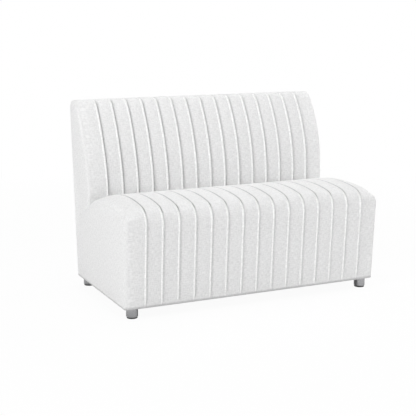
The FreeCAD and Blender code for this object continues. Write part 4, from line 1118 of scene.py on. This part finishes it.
# Each finish's name, roughness, cycles per metre, colours, height, metal share and nodes.
FRAME_FINISHES = (
    # Sawn beech: pinkish brown, with grain lines about 4 mm apart that run along each member.
    ("sawn_beech_along_x", 0.6, (12.0, 250.0, 250.0), BEECH, 0.0001, 0.0,
     "front_sill rear_sill front_spring_rail rear_spring_rail back_lower_rail back_tack_rail"
     " back_top_rail"),
    ("sawn_beech_along_y", 0.6, (250.0, 12.0, 250.0), BEECH, 0.0001, 0.0,
     "left_sill right_sill centre_sill left_side_rail right_side_rail centre_rail frame_dowels"
     " corner_blocks"),
    ("sawn_beech_along_z", 0.6, (250.0, 250.0, 12.0), BEECH, 0.0001, 0.0,
     "front_post_left front_post_right centre_front_post centre_rear_post back_post_left"
     " back_post_right back_stile_left back_stile_right"),
    # Birch plywood: paler, with a broad figure; hardboard: dark brown fibre with a 2 mm fleck.
    ("birch_plywood", 0.55, (20.0, 160.0, 60.0), ("#CDB088", "#E2CBA6"), 0.0001, 0.0,
     "front_panel left_side_panel right_side_panel"),
    ("pressed_hardboard", 0.7, (480.0,) * 3, ("#6B4A30", "#85613F"), 0.0001, 0.0,
     "outside_back_board"),
    # Needled felt: grey, with mixed fibres 5 mm long; webbing: black rubber with 3 mm ribs.
    ("needled_felt", 0.95, (200.0,) * 3, ("#77787A", "#9C9D9E"), 0.0006, 0.0, "deck_insulator"),
    ("elastic_webbing", 0.85, (40.0, 330.0, 330.0), ("#1D1D1F", "#3A3A3C"), 0.0004, 0.0,
     "back_webbing"),
    # Spring wire is oiled grey steel; fasteners are zinc plated, paler and a little blue.
    ("oiled_spring_steel", 0.4, (300.0,) * 3, ("#56585B", "#74767A"), 0.00002, 1.0,
     "seat_springs spring_tie_wires"),
    ("zinc_plated_steel", 0.35, (400.0,) * 3, ("#9EA3A8", "#BCC1C6"), 0.00002, 1.0,
     "spring_clips foot_studs foot_tee_nuts rail_screws knockdown_bolts bolt_washers barrel_nuts"
     " dust_cover_staples"),
    # Moulded black nylon: satin, with a fine 0.7 mm grain drawn 2 mm wide.
    ("moulded_black_nylon", 0.45, (500.0,) * 3, ("#0E0E0F", "#1A1A1C"), 0.00004, 0.0,
     "foot_glides foot_gaskets"),
)
for *finish, metal, names in FRAME_FINISHES:
    material = grained(*finish, MIDDLE_NOISE, IN_SPACE, Metallic=metal)
    for name in names.split():
        mesh = bpy.data.objects[name].data
        mesh.materials.clear()
        mesh.materials.append(material)
print("finished", sum(len(row[-1].split()) for row in FRAME_FINISHES), "frame nodes")

# %% [markdown]
# ## Floor and light
#
# The photograph is a cut-out on white. A large pale floor stands for that white: seen by the camera
# it is mostly its own white, wholly so in the distance, and the rest takes the bench's soft shadow. A
# white sky gives even light, and five wide area lamps model the form: the strongest from the upper
# left, as the bright left flanks of the tucks show.

# %% Floor
FLOOR_HALF, FLOOR_Z, FLOOR_POINTS = 30000.0, -0.2, 5
FLOOR_MIRRORED = 0.12
OWN_WHITE = {"From Min": 1.2, "From Max": 3.5, "To Min": 0.95, "To Max": 1.0}
PURE_WHITE = (1, 1, 1, 1)


def seen_share(tree, mirrored):
    """1 where the camera looks straight or through glass, mirrored by a mirror, 0 for light given."""
    camera_ray, mirror_ray, glass_ray = [
        add(tree, "LightPath", out=f"Is {ray} Ray") for ray in ("Camera", "Glossy", "Transmission")
    ]
    glossy = add(tree, "Math", {0: mirror_ray, 1: mirrored}, operation="MULTIPLY")
    seen = add(tree, "Math", {0: camera_ray, 1: glossy}, operation="MAXIMUM")
    return add(tree, "Math", {0: seen, 1: glass_ray}, operation="MAXIMUM")


floor_line = np.linspace(-FLOOR_HALF, FLOOR_HALF, FLOOR_POINTS)
floor_x, floor_y = np.meshgrid(floor_line, floor_line)
floor_grid = np.stack([floor_x, floor_y, np.full_like(floor_x, FLOOR_Z)], -1)
floor = make_mesh("floor", floor_grid, index_quads(grid_index(*floor_x.shape)))
floor_material, tree = blank_finish("matt_white_floor")
spot = add(tree, "TexCoord", out="Object")
distance = add(tree, "VectorMath", {0: spot}, "Value", operation="LENGTH")
share = add(tree, "MapRange", {"Value": distance, **OWN_WHITE})
own = add(tree, "Math", {0: seen_share(tree, FLOOR_MIRRORED), 1: share}, operation="MULTIPLY")
matt = {"Base Color": linear("#F2F2F2"), "Roughness": 0.9, "Specular IOR Level": 0.0}
glow = add(tree, "Emission", {"Color": PURE_WHITE, "Strength": 1.0})
blend = add(tree, "MixShader", {0: own, 1: add(tree, "BsdfPrincipled", matt), 2: glow})
add(tree, "OutputMaterial", {"Surface": blend})
floor.data.materials.append(floor_material)
print("floor", 2 * FLOOR_HALF * MM, "m wide")

# %% Light
SKY = 0.2
# Each lamp's name, place, aim, size in metres and power in watts.
LAMPS = (
    ("key_left", (-6.0, -1.8, 3.2), (0.0, 0.0, 0.45), 2.0, 246.0),
    ("top", (0.0, -0.3, 3.6), (0.0, 0.0, 0.4), 3.0, 31.0),
    ("top_rear", (0.0, 1.8, 4.2), (0.0, 0.0, 0.4), 2.0, 23.0),
    ("front_fill", (1.6, -6.0, 1.6), (0.0, 0.0, 0.4), 2.6, 109.0),
    ("rim_right", (5.5, 0.6, 2.4), (0.3, 0.0, 0.5), 3.0, 178.0),
)

world = bpy.data.worlds.new("white_studio")
bpy.context.scene.world = world
world.use_nodes = True
sky = world.node_tree
sky.nodes.clear()
level = add(sky, "MapRange", {"Value": seen_share(sky, 1.0), "To Min": SKY, "To Max": 1.0})
white = add(sky, "Background", {"Color": PURE_WHITE, "Strength": level})
add(sky, "OutputWorld", {"Surface": white})
for name, place, aim, size, power in LAMPS:
    lamp = bpy.data.lights.new(name, "AREA")
    lamp.size = size
    lamp.energy = power
    holder = bpy.data.objects.new(name, lamp)
    holder.location = place
    x, y, z = np.array(aim) - np.array(place)
    # The lamp's face is tilted by the level distance over the drop, and turned to the aim's bearing.
    holder.rotation_euler = (math.atan2(math.hypot(x, y), -z), 0.0, math.atan2(y, x) - math.pi / 2)
    bpy.context.scene.collection.objects.link(holder)
print("sky and", len(LAMPS), "lamps")

# %% [markdown]
# ## Colour
#
# The Standard view shows colours about as they are written.

# %% Colour
bpy.context.scene.view_settings.view_transform = "Standard"
